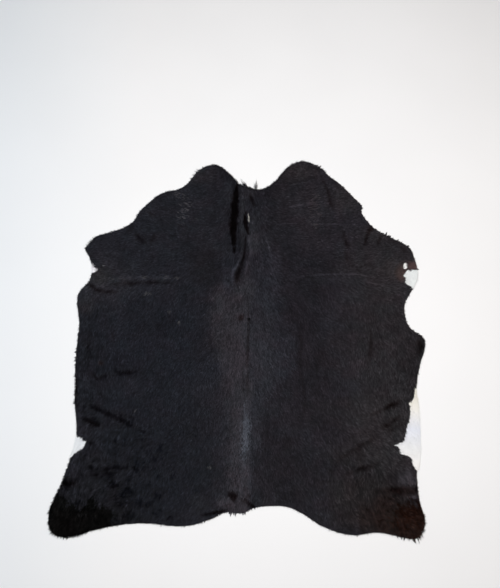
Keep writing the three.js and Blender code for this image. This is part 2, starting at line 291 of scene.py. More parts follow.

# The lighter band along the spine, partly lighter hair and partly painted sheen: its edges at places from
# the neck to the tail, how soft and ragged they are, where it fades towards the neck, and the colours of its
# left and right parts with the blend between
Edge = namedtuple("Edge", "y left right")
BAND = [
    Edge(0.560, 0.020, 0.095), Edge(0.420, -0.040, 0.200), Edge(0.254, -0.150, 0.212),
    Edge(0.198, -0.174, 0.198),
    Edge(0.089, -0.172, 0.200), Edge(0.007, -0.164, 0.255), Edge(-0.099, -0.138, 0.264),
    Edge(-0.178, -0.105, 0.256), Edge(-0.241, -0.097, 0.200), Edge(-0.287, -0.088, 0.150),
    Edge(-0.338, -0.081, 0.108), Edge(-0.394, -0.078, 0.080), Edge(-0.485, -0.072, 0.068),
    Edge(-0.600, -0.070, 0.060), Edge(-0.700, -0.070, 0.050), Edge(-0.840, -0.090, 0.040),
]
BAND_LEFT_SOFT = 0.046
BAND_RIGHT_SOFT = 0.024
BAND_RAGGED = 0.014
BAND_LEFT_FADE = (0.43, 0.22)
BAND_RIGHT_FADE = (0.62, 0.42)
BAND_LEFT = (0.0275, 0.0250, 0.0305)
BAND_RIGHT = (0.0180, 0.0179, 0.0234)
BAND_BLEND = (0.01, 0.03)

# Lines of glossier hair along the spine, with points as in the creases. Share is how many of the locks take
# that finish, and towards the line's ends fewer do.
Sheen = namedtuple("Sheen", "name finish share line")
SHEENS = [
    Sheen("left of the spine", 2, 0.33, [
        (-0.030, -0.380, 0.040), (-0.028, -0.500, 0.066), (-0.030, -0.620, 0.066), (-0.032, -0.720, 0.060),
        (-0.040, -0.800, 0.045)]),
    Sheen("tail right", 2, 0.35, [(0.030, -0.643, 0.018), (0.035, -0.720, 0.020), (0.030, -0.792, 0.018)]),
    Sheen("spine ends", 2, 0.58, [
        (0.012, -0.240, 0.022), (0.012, -0.340, 0.034), (0.014, -0.420, 0.044), (0.014, -0.540, 0.048),
        (0.004, -0.660, 0.034), (-0.002, -0.760, 0.026), (-0.004, -0.810, 0.018)]),
    Sheen("spine", 3, 1.00, [
        (0.012, -0.340, 0.012), (0.014, -0.400, 0.017), (0.015, -0.460, 0.030), (0.013, -0.535, 0.036),
        (0.009, -0.600, 0.030), (0.003, -0.655, 0.012)]),
]
SHEEN_END = 0.35
SHEEN_END_SHARE = 0.2

# Coat colours, laid over one another in this order, and the zone after which the band is laid. They are
# partly the hair's own colours and partly painted sheen and shade, where hair lying other ways meets the
# light otherwise. The sheen zones paint a glow round the glossy hair of the spine.
BASE_COAT = (0.0145, 0.0140, 0.0180)
BAND_AFTER = "neck strip"
Zone = namedtuple("Zone", "name x y reach_x reach_y strength colour")
ZONES = [
    Zone("left side", -0.55, 0.00, 0.75, 1.60, 1.0, (0.0132, 0.0138, 0.0187)),
    Zone("right side", 0.50, 0.00, 0.60, 1.60, 1.0, (0.0162, 0.0147, 0.0190)),
    Zone("left back", -0.32, -0.12, 0.20, 0.75, 0.7, (0.0112, 0.0117, 0.0158)),
    Zone("right back", 0.30, 0.10, 0.19, 0.70, 0.7, (0.0130, 0.0117, 0.0153)),
    Zone("right back low", 0.420, -0.170, 0.180, 0.300, 0.5, (0.0128, 0.0113, 0.0142)),
    Zone("right border", 0.80, 0.00, 0.42, 1.10, 1.0, (0.0222, 0.0198, 0.0224)),
    Zone("right border low", 0.72, -0.48, 0.34, 0.34, 0.7, (0.0262, 0.0230, 0.0250)),
    Zone("right neck", 0.35, 0.75, 0.25, 0.35, 0.7, (0.0200, 0.0175, 0.0212)),
    Zone("right crown", 0.28, 0.95, 0.16, 0.09, 0.8, (0.0282, 0.0230, 0.0255)),
    Zone("left crown", -0.26, 0.92, 0.14, 0.08, 0.8, (0.0200, 0.0195, 0.0230)),
    Zone("left fore", -0.735, 0.300, 0.220, 0.220, 0.8, (0.0205, 0.0205, 0.0256)),
    Zone("left shoulder shade", -0.215, 0.385, 0.130, 0.160, 0.8, (0.0098, 0.0093, 0.0118)),
    Zone("left neck shade", -0.240, 0.600, 0.120, 0.070, 0.5, (0.0106, 0.0108, 0.0140)),
    Zone("right neck shade", 0.200, 0.660, 0.120, 0.150, 0.7, (0.0136, 0.0120, 0.0153)),
    Zone("right shoulder shade", 0.410, 0.320, 0.150, 0.220, 0.7, (0.0120, 0.0108, 0.0138)),
    Zone("neck strip", -0.005, 0.66, 0.030, 0.26, 0.7, (0.0185, 0.0186, 0.0220)),
    Zone("left band top", -0.060, 0.170, 0.130, 0.160, 0.5, (0.0340, 0.0306, 0.0372)),
    Zone("band start", 0.030, 0.250, 0.060, 0.110, 0.7, (0.0290, 0.0268, 0.0326)),
    Zone("left of the trough", -0.088, 0.780, 0.055, 0.140, 0.75, (0.0188, 0.0190, 0.0238)),
    Zone("neck pit", 0.020, 0.820, 0.070, 0.070, 0.75, (0.0210, 0.0202, 0.0243)),
    Zone("right of the spine", 0.085, -0.060, 0.110, 0.420, 0.75, (0.0240, 0.0240, 0.0300)),
    Zone("right of the slit", 0.085, 0.590, 0.105, 0.180, 0.8, (0.0205, 0.0195, 0.0243)),
    Zone("beside the slit", 0.054, 0.550, 0.034, 0.160, 0.8, (0.0290, 0.0282, 0.0342)),
    Zone("right of the sheen", 0.148, -0.58, 0.085, 0.28, 0.8, (0.0120, 0.0106, 0.0140)),
    # The next two are painted sheen round the glossy hair along the spine
    Zone("sheen right edge", 0.062, -0.490, 0.048, 0.130, 0.7, (0.0265, 0.0262, 0.0335)),
    Zone("sheen head", 0.018, -0.290, 0.055, 0.085, 0.7, (0.0330, 0.0305, 0.0365)),
    Zone("right of the sheen outer", 0.230, -0.57, 0.030, 0.08, 0.5, (0.0105, 0.0090, 0.0110)),
    Zone("left flank", -0.46, -0.60, 0.46, 0.42, 0.9, (0.0083, 0.0094, 0.0136)),
    Zone("left belly shade", -0.730, -0.285, 0.150, 0.080, 0.5, (0.0100, 0.0105, 0.0142)),
    Zone("left chest", -0.480, -0.120, 0.420, 0.400, 0.6, (0.0101, 0.0113, 0.0165)),
    Zone("left thigh", -0.74, -0.75, 0.26, 0.22, 0.8, (0.0104, 0.0108, 0.0146)),
    Zone("left thigh light", -0.745, -0.765, 0.085, 0.050, 0.7, (0.0150, 0.0152, 0.0195)),
    Zone("left thigh low", -0.625, -0.825, 0.100, 0.070, 0.8, (0.0071, 0.0070, 0.0094)),
    Zone("left rump", -0.38, -0.82, 0.32, 0.20, 0.7, (0.0076, 0.0085, 0.0124)),
    Zone("left rump shade", -0.340, -0.690, 0.180, 0.130, 0.5, (0.0078, 0.0086, 0.0124)),
    Zone("left rump light", -0.200, -0.845, 0.080, 0.060, 0.6, (0.0155, 0.0157, 0.0195)),
    Zone("left ham", -0.605, -0.92, 0.160, 0.10, 0.8, (0.0063, 0.0064, 0.0080)),
    Zone("right rump", 0.26, -0.74, 0.26, 0.22, 0.7, (0.0117, 0.0102, 0.0132)),
    Zone("right thigh", 0.62, -0.80, 0.32, 0.20, 0.8, (0.0190, 0.0158, 0.0160)),
    Zone("right hind", 0.735, -0.915, 0.240, 0.140, 0.9, (0.0165, 0.0092, 0.0074)),
    Zone("right hind grey", 0.815, -0.722, 0.090, 0.068, 0.9, (0.0440, 0.0410, 0.0480)),
    Zone("right hind grey tip", 0.832, -0.750, 0.040, 0.020, 0.9, (0.0560, 0.0510, 0.0560)),
    Zone("right hind under", 0.785, -0.784, 0.190, 0.036, 0.95, (0.0185, 0.0122, 0.0120)),
    Zone("left withers", -0.078, 0.340, 0.055, 0.170, 0.75, (0.0208, 0.0215, 0.0288)),
    Zone("right neck rim", 0.560, 0.770, 0.130, 0.150, 0.7, (0.0262, 0.0232, 0.0258)),
    Zone("right arm light", 0.720, 0.570, 0.100, 0.070, 0.6, (0.0268, 0.0240, 0.0262)),
    Zone("left elbow rim", -0.835, 0.165, 0.070, 0.070, 0.9, (0.0240, 0.0235, 0.0280)),
    Zone("left flank light", -0.730, -0.630, 0.090, 0.050, 0.6, (0.0160, 0.0160, 0.0205)),
    Zone("right thigh light", 0.720, -0.680, 0.110, 0.060, 0.6, (0.0270, 0.0240, 0.0265)),
    Zone("right thigh low", 0.700, -0.832, 0.110, 0.055, 0.8, (0.0107, 0.0064, 0.0058)),
    Zone("right flank shade", 0.400, -0.410, 0.220, 0.110, 0.7, (0.0120, 0.0105, 0.0130)),
    Zone("right bulge shade", 0.850, -0.160, 0.060, 0.140, 0.5, (0.0150, 0.0130, 0.0145)),
    Zone("tail left", -0.090, -0.838, 0.055, 0.036, 0.8, (0.0350, 0.0340, 0.0415)),
    Zone("right fore brown", 0.905, 0.388, 0.042, 0.032, 0.95, (0.0700, 0.0420, 0.0410)),
    Zone("right elbow light", 0.800, 0.360, 0.080, 0.080, 0.8, (0.0310, 0.0262, 0.0282)),
    Zone("right fore dark brown", 0.840, 0.340, 0.042, 0.066, 0.9, (0.0560, 0.0360, 0.0340)),
    Zone("left elbow", -0.760, 0.330, 0.080, 0.070, 0.7, (0.0250, 0.0232, 0.0250)),
    Zone("left belly red", -0.730, -0.144, 0.026, 0.024, 0.8, (0.0110, 0.0070, 0.0070)),
    Zone("whorl left", -0.012, 0.099, 0.022, 0.026, 0.8, (0.0110, 0.0060, 0.0060)),
    Zone("whorl right", 0.030, 0.091, 0.014, 0.014, 1.0, (0.0020, 0.0018, 0.0018)),
]
ZONE_EDGE = (1.0, 0.25)
ZONE_BROAD = 0.22
ZONE_FINE = 0.12

# Patches with an edge of their own, as outlines that pass the rim outside. Each has colours from its neck
# end to its tail end. Ragged is how far its edge wanders, and soft how far single locks stray over it.
# The shifts let the edge wander otherwise along the hide than across it.
Patch = namedtuple("Patch", "name ragged soft colours outline")
PATCHES = [
    # Black hair, and partly painted shade where the hair turns away from the light
    Patch("left hind black", 0.009, 0.006, [(0.0040, 0.0039, 0.0040), (0.0036, 0.0032, 0.0031)], [
        (-0.950, -0.802), (-0.910, -0.808), (-0.863, -0.813), (-0.836, -0.842), (-0.801, -0.866),
        (-0.763, -0.866),
        (-0.753, -0.818), (-0.737, -0.804), (-0.717, -0.812), (-0.703, -0.858), (-0.665, -0.859),
        (-0.635, -0.874),
        (-0.614, -0.898), (-0.640, -0.915), (-0.612, -0.940), (-0.646, -0.962), (-0.625, -1.050),
        (-0.990, -1.050)]),
    # Dark brown hair, darkened further by painted shade where the hair turns away from the light
    Patch("right hind brown", 0.016, 0.020, [(0.0086, 0.0036, 0.0026), (0.0186, 0.0079, 0.0055),
        (0.0156, 0.0076, 0.0057)], [
        (0.960, -0.822), (0.816, -0.834), (0.776, -0.850), (0.740, -0.880), (0.722, -0.925),
        (0.735, -0.965),
        (0.752, -1.050), (0.990, -1.050)]),
    Patch("left fore", 0.003, 0.003, [(0.86, 0.85, 0.88)], [
        (-0.820, 0.405), (-0.802, 0.398), (-0.794, 0.375), (-0.779, 0.366), (-0.788, 0.352),
        (-0.803, 0.346),
        (-0.840, 0.350)]),
    # White hair, greyed by painted shade, more towards its tail end
    Patch("left flank", 0.003, 0.002, [(0.80, 0.83, 0.86), (0.77, 0.79, 0.81)], [
        (-0.832, -0.510), (-0.814, -0.524), (-0.805, -0.537), (-0.796, -0.545), (-0.785, -0.541),
        (-0.790, -0.559),
        (-0.791, -0.574), (-0.797, -0.581), (-0.811, -0.586), (-0.831, -0.598), (-0.850, -0.618),
        (-0.900, -0.600),
        (-0.880, -0.500)]),
    Patch("right fore", 0.002, 0.001, [(0.79, 0.82, 0.82), (0.78, 0.80, 0.79)], [
        (0.872, 0.362), (0.890, 0.357), (0.901, 0.364), (0.950, 0.362), (0.950, 0.240), (0.898, 0.258),
        (0.875, 0.279), (0.857, 0.290), (0.862, 0.317), (0.851, 0.336), (0.859, 0.349)]),
    Patch("right fore spot", 0.001, 0.000, [(0.86, 0.85, 0.84)], [
        (0.863, 0.406), (0.856, 0.388), (0.862, 0.368), (0.870, 0.374), (0.872, 0.394)]),
    Patch("right flank", 0.002, 0.001, [(0.84, 0.81, 0.71), (0.86, 0.84, 0.79), (0.78, 0.80, 0.86),
        (0.85, 0.85, 0.85),
                                        (0.92, 0.90, 0.87)], [
        (0.872, -0.278), (0.864, -0.326), (0.853, -0.342), (0.833, -0.362), (0.849, -0.367),
        (0.838, -0.379),
        (0.846, -0.395), (0.839, -0.417), (0.841, -0.431), (0.824, -0.463), (0.816, -0.504),
        (0.804, -0.534),
        (0.786, -0.551), (0.757, -0.562), (0.776, -0.571), (0.783, -0.603), (0.807, -0.607),
        (0.836, -0.630),
        (0.842, -0.659), (0.859, -0.686), (0.940, -0.690), (0.940, -0.278)]),
]
EDGE_SHIFT = 0.3
FRAY_SHIFT = 0.2

# Pale coat: the least green in its colour, how low its locks lie, and how much they differ
PALE = 0.3
PALE_LOW = 0.6
PALE_VARY = 0.04

# How strongly patterns change the tone, on calm coat and in addition on shaggy coat, the streaks along the
# spine and how far out they reach, the limits of the tone, and how the hue shifts
TONES = {"broad": (0.14, 0.0), "fine": (0.12, 0.16), "wave": (0.0, 0.26), "grain": (0.22, 0.16)}
STREAK_TONE = 0.16
STREAK_REACH = 0.40
TONE_RANGE = (0.25, 2)
HUE_SHIFT = np.array([0.05, -0.03, -0.02])

# The hue of the painted shade in dark creases, and the tone of that painted shade and the green below which
# the coat lies too deep to shine
CREASE_SHADE_HUE = (0.84, 1.0, 1.06)
DEEP_TONE = 0.5
DEEP = 0.0072

# Lighter hairs strewn over small places
Fleck = namedtuple("Fleck", "name x y reach_x reach_y share colour")
FLECKS = [
    Fleck("left neck low", -0.324, 0.672, 0.052, 0.018, 0.22, (0.066, 0.063, 0.072)),
    Fleck("left neck", -0.328, 0.708, 0.052, 0.020, 0.24, (0.068, 0.065, 0.074)),
    Fleck("left neck column", -0.336, 0.715, 0.048, 0.130, 0.10, (0.048, 0.046, 0.052)),
    Fleck("left neck high", -0.308, 0.743, 0.050, 0.018, 0.24, (0.066, 0.062, 0.070)),
    Fleck("left crown", -0.361, 0.802, 0.030, 0.026, 0.22, (0.058, 0.055, 0.061)),
    Fleck("left neck inner", -0.264, 0.655, 0.030, 0.011, 0.30, (0.043, 0.042, 0.048)),
    Fleck("right neck", 0.398, 0.791, 0.030, 0.014, 0.40, (0.050, 0.044, 0.048)),
    Fleck("right arm", 0.391, 0.619, 0.020, 0.024, 0.40, (0.050, 0.046, 0.051)),
    Fleck("right neck streaks", 0.390, 0.715, 0.055, 0.121, 0.16, (0.048, 0.039, 0.044)),
    Fleck("left shoulder outer", -0.682, 0.315, 0.036, 0.014, 0.20, (0.040, 0.038, 0.042)),
    Fleck("left shoulder outer middle", -0.623, 0.315, 0.036, 0.014, 0.20, (0.038, 0.036, 0.040)),
    Fleck("left shoulder middle", -0.523, 0.321, 0.040, 0.015, 0.25, (0.040, 0.039, 0.043)),
    Fleck("left shoulder inner", -0.411, 0.321, 0.036, 0.015, 0.40, (0.048, 0.047, 0.053)),
    Fleck("left shoulder edge", -0.347, 0.321, 0.030, 0.014, 0.25, (0.040, 0.038, 0.042)),
    Fleck("left side", -0.508, 0.229, 0.030, 0.012, 0.45, (0.053, 0.053, 0.058)),
    Fleck("left mid", -0.384, 0.127, 0.018, 0.011, 0.45, (0.053, 0.053, 0.058)),
    Fleck("left mid low", -0.335, 0.072, 0.014, 0.012, 0.50, (0.056, 0.056, 0.061)),
    Fleck("left rump", -0.165, -0.672, 0.013, 0.011, 0.50, (0.053, 0.053, 0.056)),
    Fleck("left flank", -0.540, -0.385, 0.015, 0.011, 0.45, (0.053, 0.051, 0.059)),
    Fleck("neck nick", 0.029, 0.664, 0.0055, 0.036, 0.80, (0.380, 0.370, 0.340)),
    Fleck("left fore fleck", -0.742, 0.389, 0.013, 0.006, 0.45, (0.130, 0.130, 0.140)),
    Fleck("left belly rim", -0.858, -0.310, 0.009, 0.020, 0.60, (0.280, 0.285, 0.300)),
    Fleck("left hind streak", -0.780, -0.896, 0.045, 0.013, 0.60, (0.0100, 0.0097, 0.0104)),
]
FLECK_EDGE = (1.0, 0.3)

# Where the coat is shaggy: from where to where it begins low on the hide and on the belly, how shaggy the
# belly is, and the share of this on the right side
SHAGGY_LOW_Y = (-0.25, -0.75)
SHAGGY_LOW_X = (0.30, 0.60)
SHAGGY_BELLY_X = (0.62, 0.82)
SHAGGY_BELLY_Y = (0.25, -0.10)
SHAGGY_BELLY = 0.6
RIGHT_CALM = 0.65

# The way the hair lies: from where to where it turns out from the spine and on the neck, forelegs and belly,
# how far it turns there, and how it wavers
OUT_X = (0.0, 0.24)
NECK_Y = (0.10, 0.55)
FORELEG_X, FORELEG_Y, FORELEG_REACH = (0.50, 0.78), 0.40, 0.30
BELLY_X, BELLY_Y, BELLY_REACH = (0.45, 0.75), -0.10, 0.55
FLANK_TURN, NECK_TURN, BELLY_TURN, FORELEG_TURN = 0.38, 0.55, 0.22, 0.4
BACKWARD = 1.02
BROAD_WAVER, FINE_WAVER = math.radians(22), math.radians(14)
SPINE_WAVER, SHAGGY_WAVER = 0.35, 0.8

# The coat's layers from the skin up. Heights are above the skin, at the middle of a lock and at its tip.
# Lightness darkens the lower layers as painted shade under the upper ones and lightens the top one as
# painted sheen.
Layer = namedtuple("Layer", "name seed length width middle tip lightness")
LAYERS = [
    Layer("coat_under", 11, 0.019, 0.0052, 0.0008, 0.0016, 0.75),
    Layer("coat_low", 12, 0.021, 0.0038, 0.0014, 0.0024, 0.90),
    Layer("coat_mid", 13, 0.023, 0.0032, 0.0020, 0.0032, 1.00),
    Layer("coat_top", 14, 0.024, 0.0025, 0.0026, 0.0040, 1.08),
]
LOCKS_IN_LAYER = 48600

# A lock: how uneven its heading, length, width and height are, and what shaggy coat adds to these. Then how
# much shorter it is where it would cross a patch's edge, how far it may pass the rim, and how much of it is
# left there at least.
LOCK_TURN, SHAGGY_TURN = 0.13, 0.6
LOCK_LENGTHS, SHAGGY_LENGTH = (0.75, 1.2), 0.25
LOCK_WIDTHS = (0.75, 1.25)
LOCK_RISES, SHAGGY_RISE = (0.7, 1.25), 0.3
LOCK_CROSSING = 0.6
OVERHANG = (-0.0010, 0.0035)
SHORTEST = 0.1

# Its form: the heights of its root and its ridge, how curled it is, how far that bends its middle and its
# tip, what share of a pull on its tip moves its middle, its points and triangles, and the margin of its map
ROOT_RISE = 0.0002
LOCK_RIDGE = 0.0006
LOCK_CURL = 0.16
CURL_MIDDLE, CURL_TIP = 0.4, 0.5
PULL_MIDDLE = 0.4
LOCK_POINTS = 5
LOCK_TRIANGLES = np.array([(0, 2, 1), (0, 3, 2), (1, 2, 4), (2, 3, 4)])
MAP_MARGIN = 0.005

# Its colour: the place along it that is seen most, the shades from its root over its sides and ridge to its
# tip, painted shade at the root and sides with a lighter tip, how much locks and clumps differ on calm coat
# and in addition on shaggy, how much darker the partings between clumps are as painted shade, the greens
# over which they come to differ less and by how much, and the brightest colour
LOCK_SEEN = 0.6
LOCK_SHADES = (0.55, 0.9, 1.0, 0.9, 1.2)
PALE_SHADES = (0.95, 1.0, 1.0, 1.0, 1.0)
LOCK_VARY = 0.30
CLUMP_VARY = (0.08, 0.22)
PARTING_SHADE = (0.14, 0.50)
CALM_COAT = (0.022, 0.045)
CALMED = 0.6
BRIGHTEST = 0.94

# How much darker the hair on the skin is than the locks above it, as painted shade under them, where the
# coat isn't pale
UNDER_SHADE = 0.75

# Clumps of the longer coat: their width, how much longer than wide they are, their lean outwards, how far
# one turns off the others' way, where in its cell one lies, how wide the partings are, how far locks are
# drawn to the middle on calm coat and in addition on shaggy, and how far from the rim that begins
CLUMP = 0.016
CLUMP_STRETCH = 3.0
CLUMP_LEAN = math.radians(18)
CLUMP_TURN = math.radians(32)
CLUMP_JITTER = (0.1, 0.9)
CLUMP_PARTING = 0.35
CLUMP_DRAW = (0.15, 0.55)
CLUMP_RIM = 0.03
CLUMP_SEED = 6

# Finer hairs that stand past the rim: their distance, how deep inside they root, how far they stand out, how
# they follow the coat, stray and lean at most, and their heights and lightness
FRINGE_SEED = 21
FRINGE_STEP = 0.00055
FRINGE_ROOT = (0.004, 0.014)
FRINGE_PAST = (-0.002, 0.004)
FRINGE_LONG = (0.005, 0.009)
FRINGE_LONG_SHARE = 0.05
FRINGE_WIDTH = (0.0010, 0.0018)
FRINGE_LIE, FRINGE_STRAY, FRINGE_STEEP = 0.75, 0.22, 0.45
FRINGE_MIDDLE = (0.0006, 0.0030)
FRINGE_TIP = (-0.0014, 0.0010)
FRINGE_LIGHT = 0.95

# Stretches of the rim where the fringe is drawn together to little pointed tufts: their middle and reach,
# how far the tufts stand out, the distance between two of them and how wide one is at the rim
Wisp = namedtuple("Wisp", "name x y reach past apart width")
WISPS = [
    Wisp("everywhere", 0.0, 0.0, 3.00, 0.008, 0.018, 0.006),
    Wisp("left belly", -0.856, -0.210, 0.24, 0.011, 0.013, 0.011),
    Wisp("right foreleg", 0.828, 0.532, 0.09, 0.015, 0.015, 0.011),
    Wisp("right arm", 0.716, 0.600, 0.04, 0.007, 0.014, 0.011),
    Wisp("right crown", 0.440, 0.955, 0.08, 0.014, 0.016, 0.011),
    Wisp("left crown", -0.262, 0.930, 0.07, 0.015, 0.010, 0.008),
    Wisp("left foreleg", -0.856, 0.520, 0.06, 0.014, 0.009, 0.008),
    Wisp("rump", -0.002, -0.880, 0.10, 0.015, 0.014, 0.012),
    Wisp("right hind leg", 0.812, -1.003, 0.085, 0.024, 0.011, 0.010),
    Wisp("right hind side", 0.860, -0.950, 0.08, 0.011, 0.009, 0.007),
    Wisp("left hind leg", -0.895, -0.970, 0.17, 0.011, 0.009, 0.008),
]
WISP_EDGE = (1.0, 0.6)
WISP_LENGTHS = (0.35, 1.0)
WISP_DRAWN = (0.65, 1.0)
WISP_LEAN, WISP_STRAY = 0.4, 0.25

# Tufts at the neck's edge: middle, half the width of the roots, heading and fan in degrees
Tuft = namedtuple("Tuft", "name x y spread heading fan length count")
TUFTS = [
    Tuft("left", 0.000, 0.850, 0.022, 104, 16, 0.030, 36),
    Tuft("left tip", 0.018, 0.846, 0.010, 124, 8, 0.068, 18),
    Tuft("right", 0.064, 0.824, 0.007, 87, 7, 0.080, 20),
    Tuft("between", 0.033, 0.839, 0.020, 80, 30, 0.018, 50),
]
TUFT_FAN, TUFT_STRAY = -0.6, 0.4
TUFT_LENGTHS = (0.55, 1.05)
TUFT_SIDES_SHORTER = 0.35

# Thin hairs lying astray on the coat
STRAYS = 7000
STRAY_TURN = 0.38
STRAY_LENGTH = (0.022, 0.040)
STRAY_WIDTH, STRAY_WIDTHS = 0.0009, (0.8, 1.3)
STRAY_MIDDLE = (0.0030, 0.0042)
STRAY_TIP = (0.0036, 0.0058)
STRAY_LIGHT = 1.25

# Finishes of the hair: how strongly it shines, the colour of the shine, and the ranges of its roughness and
# of the streaks in its colour. The sheens and lock_looks know them by their number here. Then the shine of
# other materials, the strength of their bumps, and dark and light colours of the flesh side and cut edge.
Finish = namedtuple("Finish", "name shine tint rough streak")
FINISHES = [
    Finish("hair", 0.035, (1.0, 1.0, 1.0), (0.46, 0.62), (0.72, 1.28)),
    Finish("hair_deep", 0.008, (1.0, 1.0, 1.0), (0.60, 0.75), (0.72, 1.28)),
    Finish("hair_gloss", 0.14, (0.78, 0.85, 1.0), (0.44, 0.58), (0.72, 1.28)),
    Finish("hair_bright", 0.42, (0.72, 0.82, 1.0), (0.46, 0.60), (0.72, 1.28)),
    Finish("hair_pale", 0.050, (1.0, 1.0, 1.0), (0.50, 0.64), (0.95, 1.05)),
]
PLAIN, DULL, WHITE = 0, 1, 4
USUAL_SHINE = 0.5
BUMP_STRENGTH = 0.6
SUEDE = ((0.46, 0.40, 0.33), (0.60, 0.55, 0.47))
CUT_EDGE = ((0.20, 0.17, 0.14), (0.34, 0.30, 0.25))

# The stage: camera, floor and lamps
CAMERA_PLACE = (0.0352, -1.1008, 4.1)
CAMERA_PITCH = math.radians(18)
CAMERA_LENS = 50
CAMERA_SENSOR = 36
FLOOR_HALF = 7.0
FLOOR_DROP = 0.0002
# The floor's cooler colour towards the left is painted cool light, as from the cool lamp on that side
FLOOR_COOL, FLOOR_GREY = (0.840, 0.876, 0.903), (0.900, 0.900, 0.900)
FLOOR_COOL_X = (-1.4, -0.6)
Lamp = namedtuple("Lamp", "name place aim size power colour")
LAMPS = [
    Lamp("top_softbox", (0.0, 0.3, 4.8), (0.0, 0.2, 0.0), 1.8, 207, (0.985, 0.993, 1.0)),
    Lamp("left_softbox", (-3.4, 0.3, 4.0), (0.0, 0.0, 0.0), 2.6, 14, (0.80, 0.92, 1.0)),
    Lamp("right_softbox", (3.4, 0.3, 4.0), (0.0, 0.0, 0.0), 2.6, 26, (1.0, 0.80, 0.62)),
]
SKY_COLOUR = (1.0, 0.95, 0.98)
SKY_STRENGTH = 0.15

TINY = 1e-6


def smoothstep(low, high, value):
    share = np.clip((value - low) / (high - low), 0.0, 1.0)
    return share * share * (3 - 2 * share)


def bell(share):
    """1 at the middle, falling softly to 0 at a share of 1."""
    return np.where(np.abs(share) < 1, 0.5 + 0.5 * np.cos(np.pi * np.clip(share, -1, 1)), 0.0)


def graded(pair, shaggy):
    """A strength on calm coat, with what shaggy coat adds to it."""
    return pair[0] + pair[1] * shaggy


def off_middle(spot, x, y):
    """Distance from a spot's middle, as a share of its reach."""
    return np.hypot((x - spot.x) / spot.reach_x, (y - spot.y) / spot.reach_y)


def off_ends(along, share):
    """0 at both ends of a line, rising to 1 over a share of it."""
    return smoothstep(0, share, along) * smoothstep(0, share, 1 - along)


def headed(angle, length=1.0):
    """Ways with that angle and length, in the plane of the floor."""
    return np.stack([np.cos(angle) * length, np.sin(angle) * length], 1)


def signed_area(points):
    """Area inside a loop of points, negative where the loop runs clockwise."""
    x, y = points.T
    return np.sum(x * np.roll(y, -1) - y * np.roll(x, -1)) / 2


class Field:
    """Values on an even grid over the hide, read between the grid's points."""

    def __init__(self, low, step, values):
        self.low = low
        self.step = step
        self.values = values

    def at(self, x, y, soft=False):
        columns, rows = self.values.shape
        u = np.clip((x - self.low[0]) / self.step, 0, columns - FIELD_END)
        v = np.clip((y - self.low[1]) / self.step, 0, rows - FIELD_END)
        i = u.astype(int)
        j = v.astype(int)
        u = u - i
        v = v - j
        if soft:
            u = smoothstep(0, 1, u)
            v = smoothstep(0, 1, v)
        near = self.values[i, j] * (1 - u) + self.values[i + 1, j] * u
        far = self.values[i, j + 1] * (1 - u) + self.values[i + 1, j + 1] * u
        return near * (1 - v) + far * v


def grid(step):
    """Points at even steps over the hide and its margin."""
    columns = np.arange(FIELD_LOW[0], FIELD_HIGH[0], step)
    rows = np.arange(FIELD_LOW[1], FIELD_HIGH[1], step)
    return np.meshgrid(columns, rows, indexing="ij")


def noise(seed, size, stretch):
    """A smooth random pattern from -1 to 1 with features of that size, drawn out along the hide."""
    columns = int((FIELD_HIGH[0] - FIELD_LOW[0]) / size) + SPARE_CELLS
    rows = int((FIELD_HIGH[1] - FIELD_LOW[1]) / (size * stretch)) + SPARE_CELLS
    values = np.random.default_rng(seed).uniform(-1, 1, (columns, rows))
    field = Field((FIELD_LOW[0], FIELD_LOW[1] / stretch), size, values)
    return lambda x, y: field.at(x, y / stretch, soft=True)


def line_distance(x, y, line):
    """Distance from points to a polyline, and how far along it the nearest place is, from 0 to 1."""
    nearest = np.full(np.shape(x), np.inf)
    along = np.zeros(np.shape(x))
    for k, (a, b) in enumerate(zip(line[:-1], line[1:])):
        run = (b[0] - a[0], b[1] - a[1])
        share = np.clip(((x - a[0]) * run[0] + (y - a[1]) * run[1]) / (run[0] ** 2 + run[1] ** 2), 0, 1)
        away = np.hypot(x - a[0] - share * run[0], y - a[1] - share * run[1])
        closer = away < nearest
        nearest = np.where(closer, away, nearest)
        along = np.where(closer, (k + share) / (len(line) - 1), along)
    return nearest, along


def inside_polygon(x, y, outline):
    inside = np.zeros(np.shape(x), bool)
    for (ax, ay), (bx, by) in zip(outline, [*outline[1:], outline[0]]):
        if ay == by:
            continue
        crosses = (ay > y) != (by > y)
        inside ^= crosses & (x < ax + (y - ay) * (bx - ax) / (by - ay))
    return inside


def welded_part():
    """The part's solid with its split vertices joined again, as a new bmesh."""
    solid = bmesh.new()
    solid.from_mesh(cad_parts["hide"].data)
    bmesh.ops.remove_doubles(solid, verts=solid.verts, dist=WELD_CLOSE)
    solid.normal_update()
    return solid


def rim_loop(solid):
    """The rim seen from above, as points in order."""
    after = {}
    for edge in solid.edges:
        down = [f for f in edge.link_faces if f.normal.z < -LEVEL]
        side = [f for f in edge.link_faces if abs(f.normal.z) < LEVEL]
        if len(down) == 1 and len(side) == 1:
            a, b = edge.verts
            after.setdefault(a, []).append(b)
            after.setdefault(b, []).append(a)
    first = next(iter(after))
    loop = [first]
    last, here = None, first
    while True:
        onward = [v for v in after[here] if v is not last]
        last, here = here, onward[0]
        if here is first:
            break
        loop.append(here)
    points = np.array([(v.co.x, v.co.y) for v in loop])
    return points[::-1] if signed_area(points) < 0 else points


def without_tufts(rim):
    """The rim with the points left out that stand past the neck's straight edge."""
    (ax, ay), (bx, by) = NECK_EDGE
    x, y = rim.T
    past = (x > ax) & (x < bx) & (y > ay + (x - ax) * (by - ay) / (bx - ax))
    return rim[~past]


def rim_distance(rim):
    """Distance from the rim on the grid, positive inside the hide."""
    x, y = grid(FIELD_STEP)
    closed = [tuple(p) for p in rim]
    away, _ = line_distance(x, y, [*closed, closed[0]])
    return Field(FIELD_LOW, FIELD_STEP, np.where(inside_polygon(x, y, closed), away, -away))


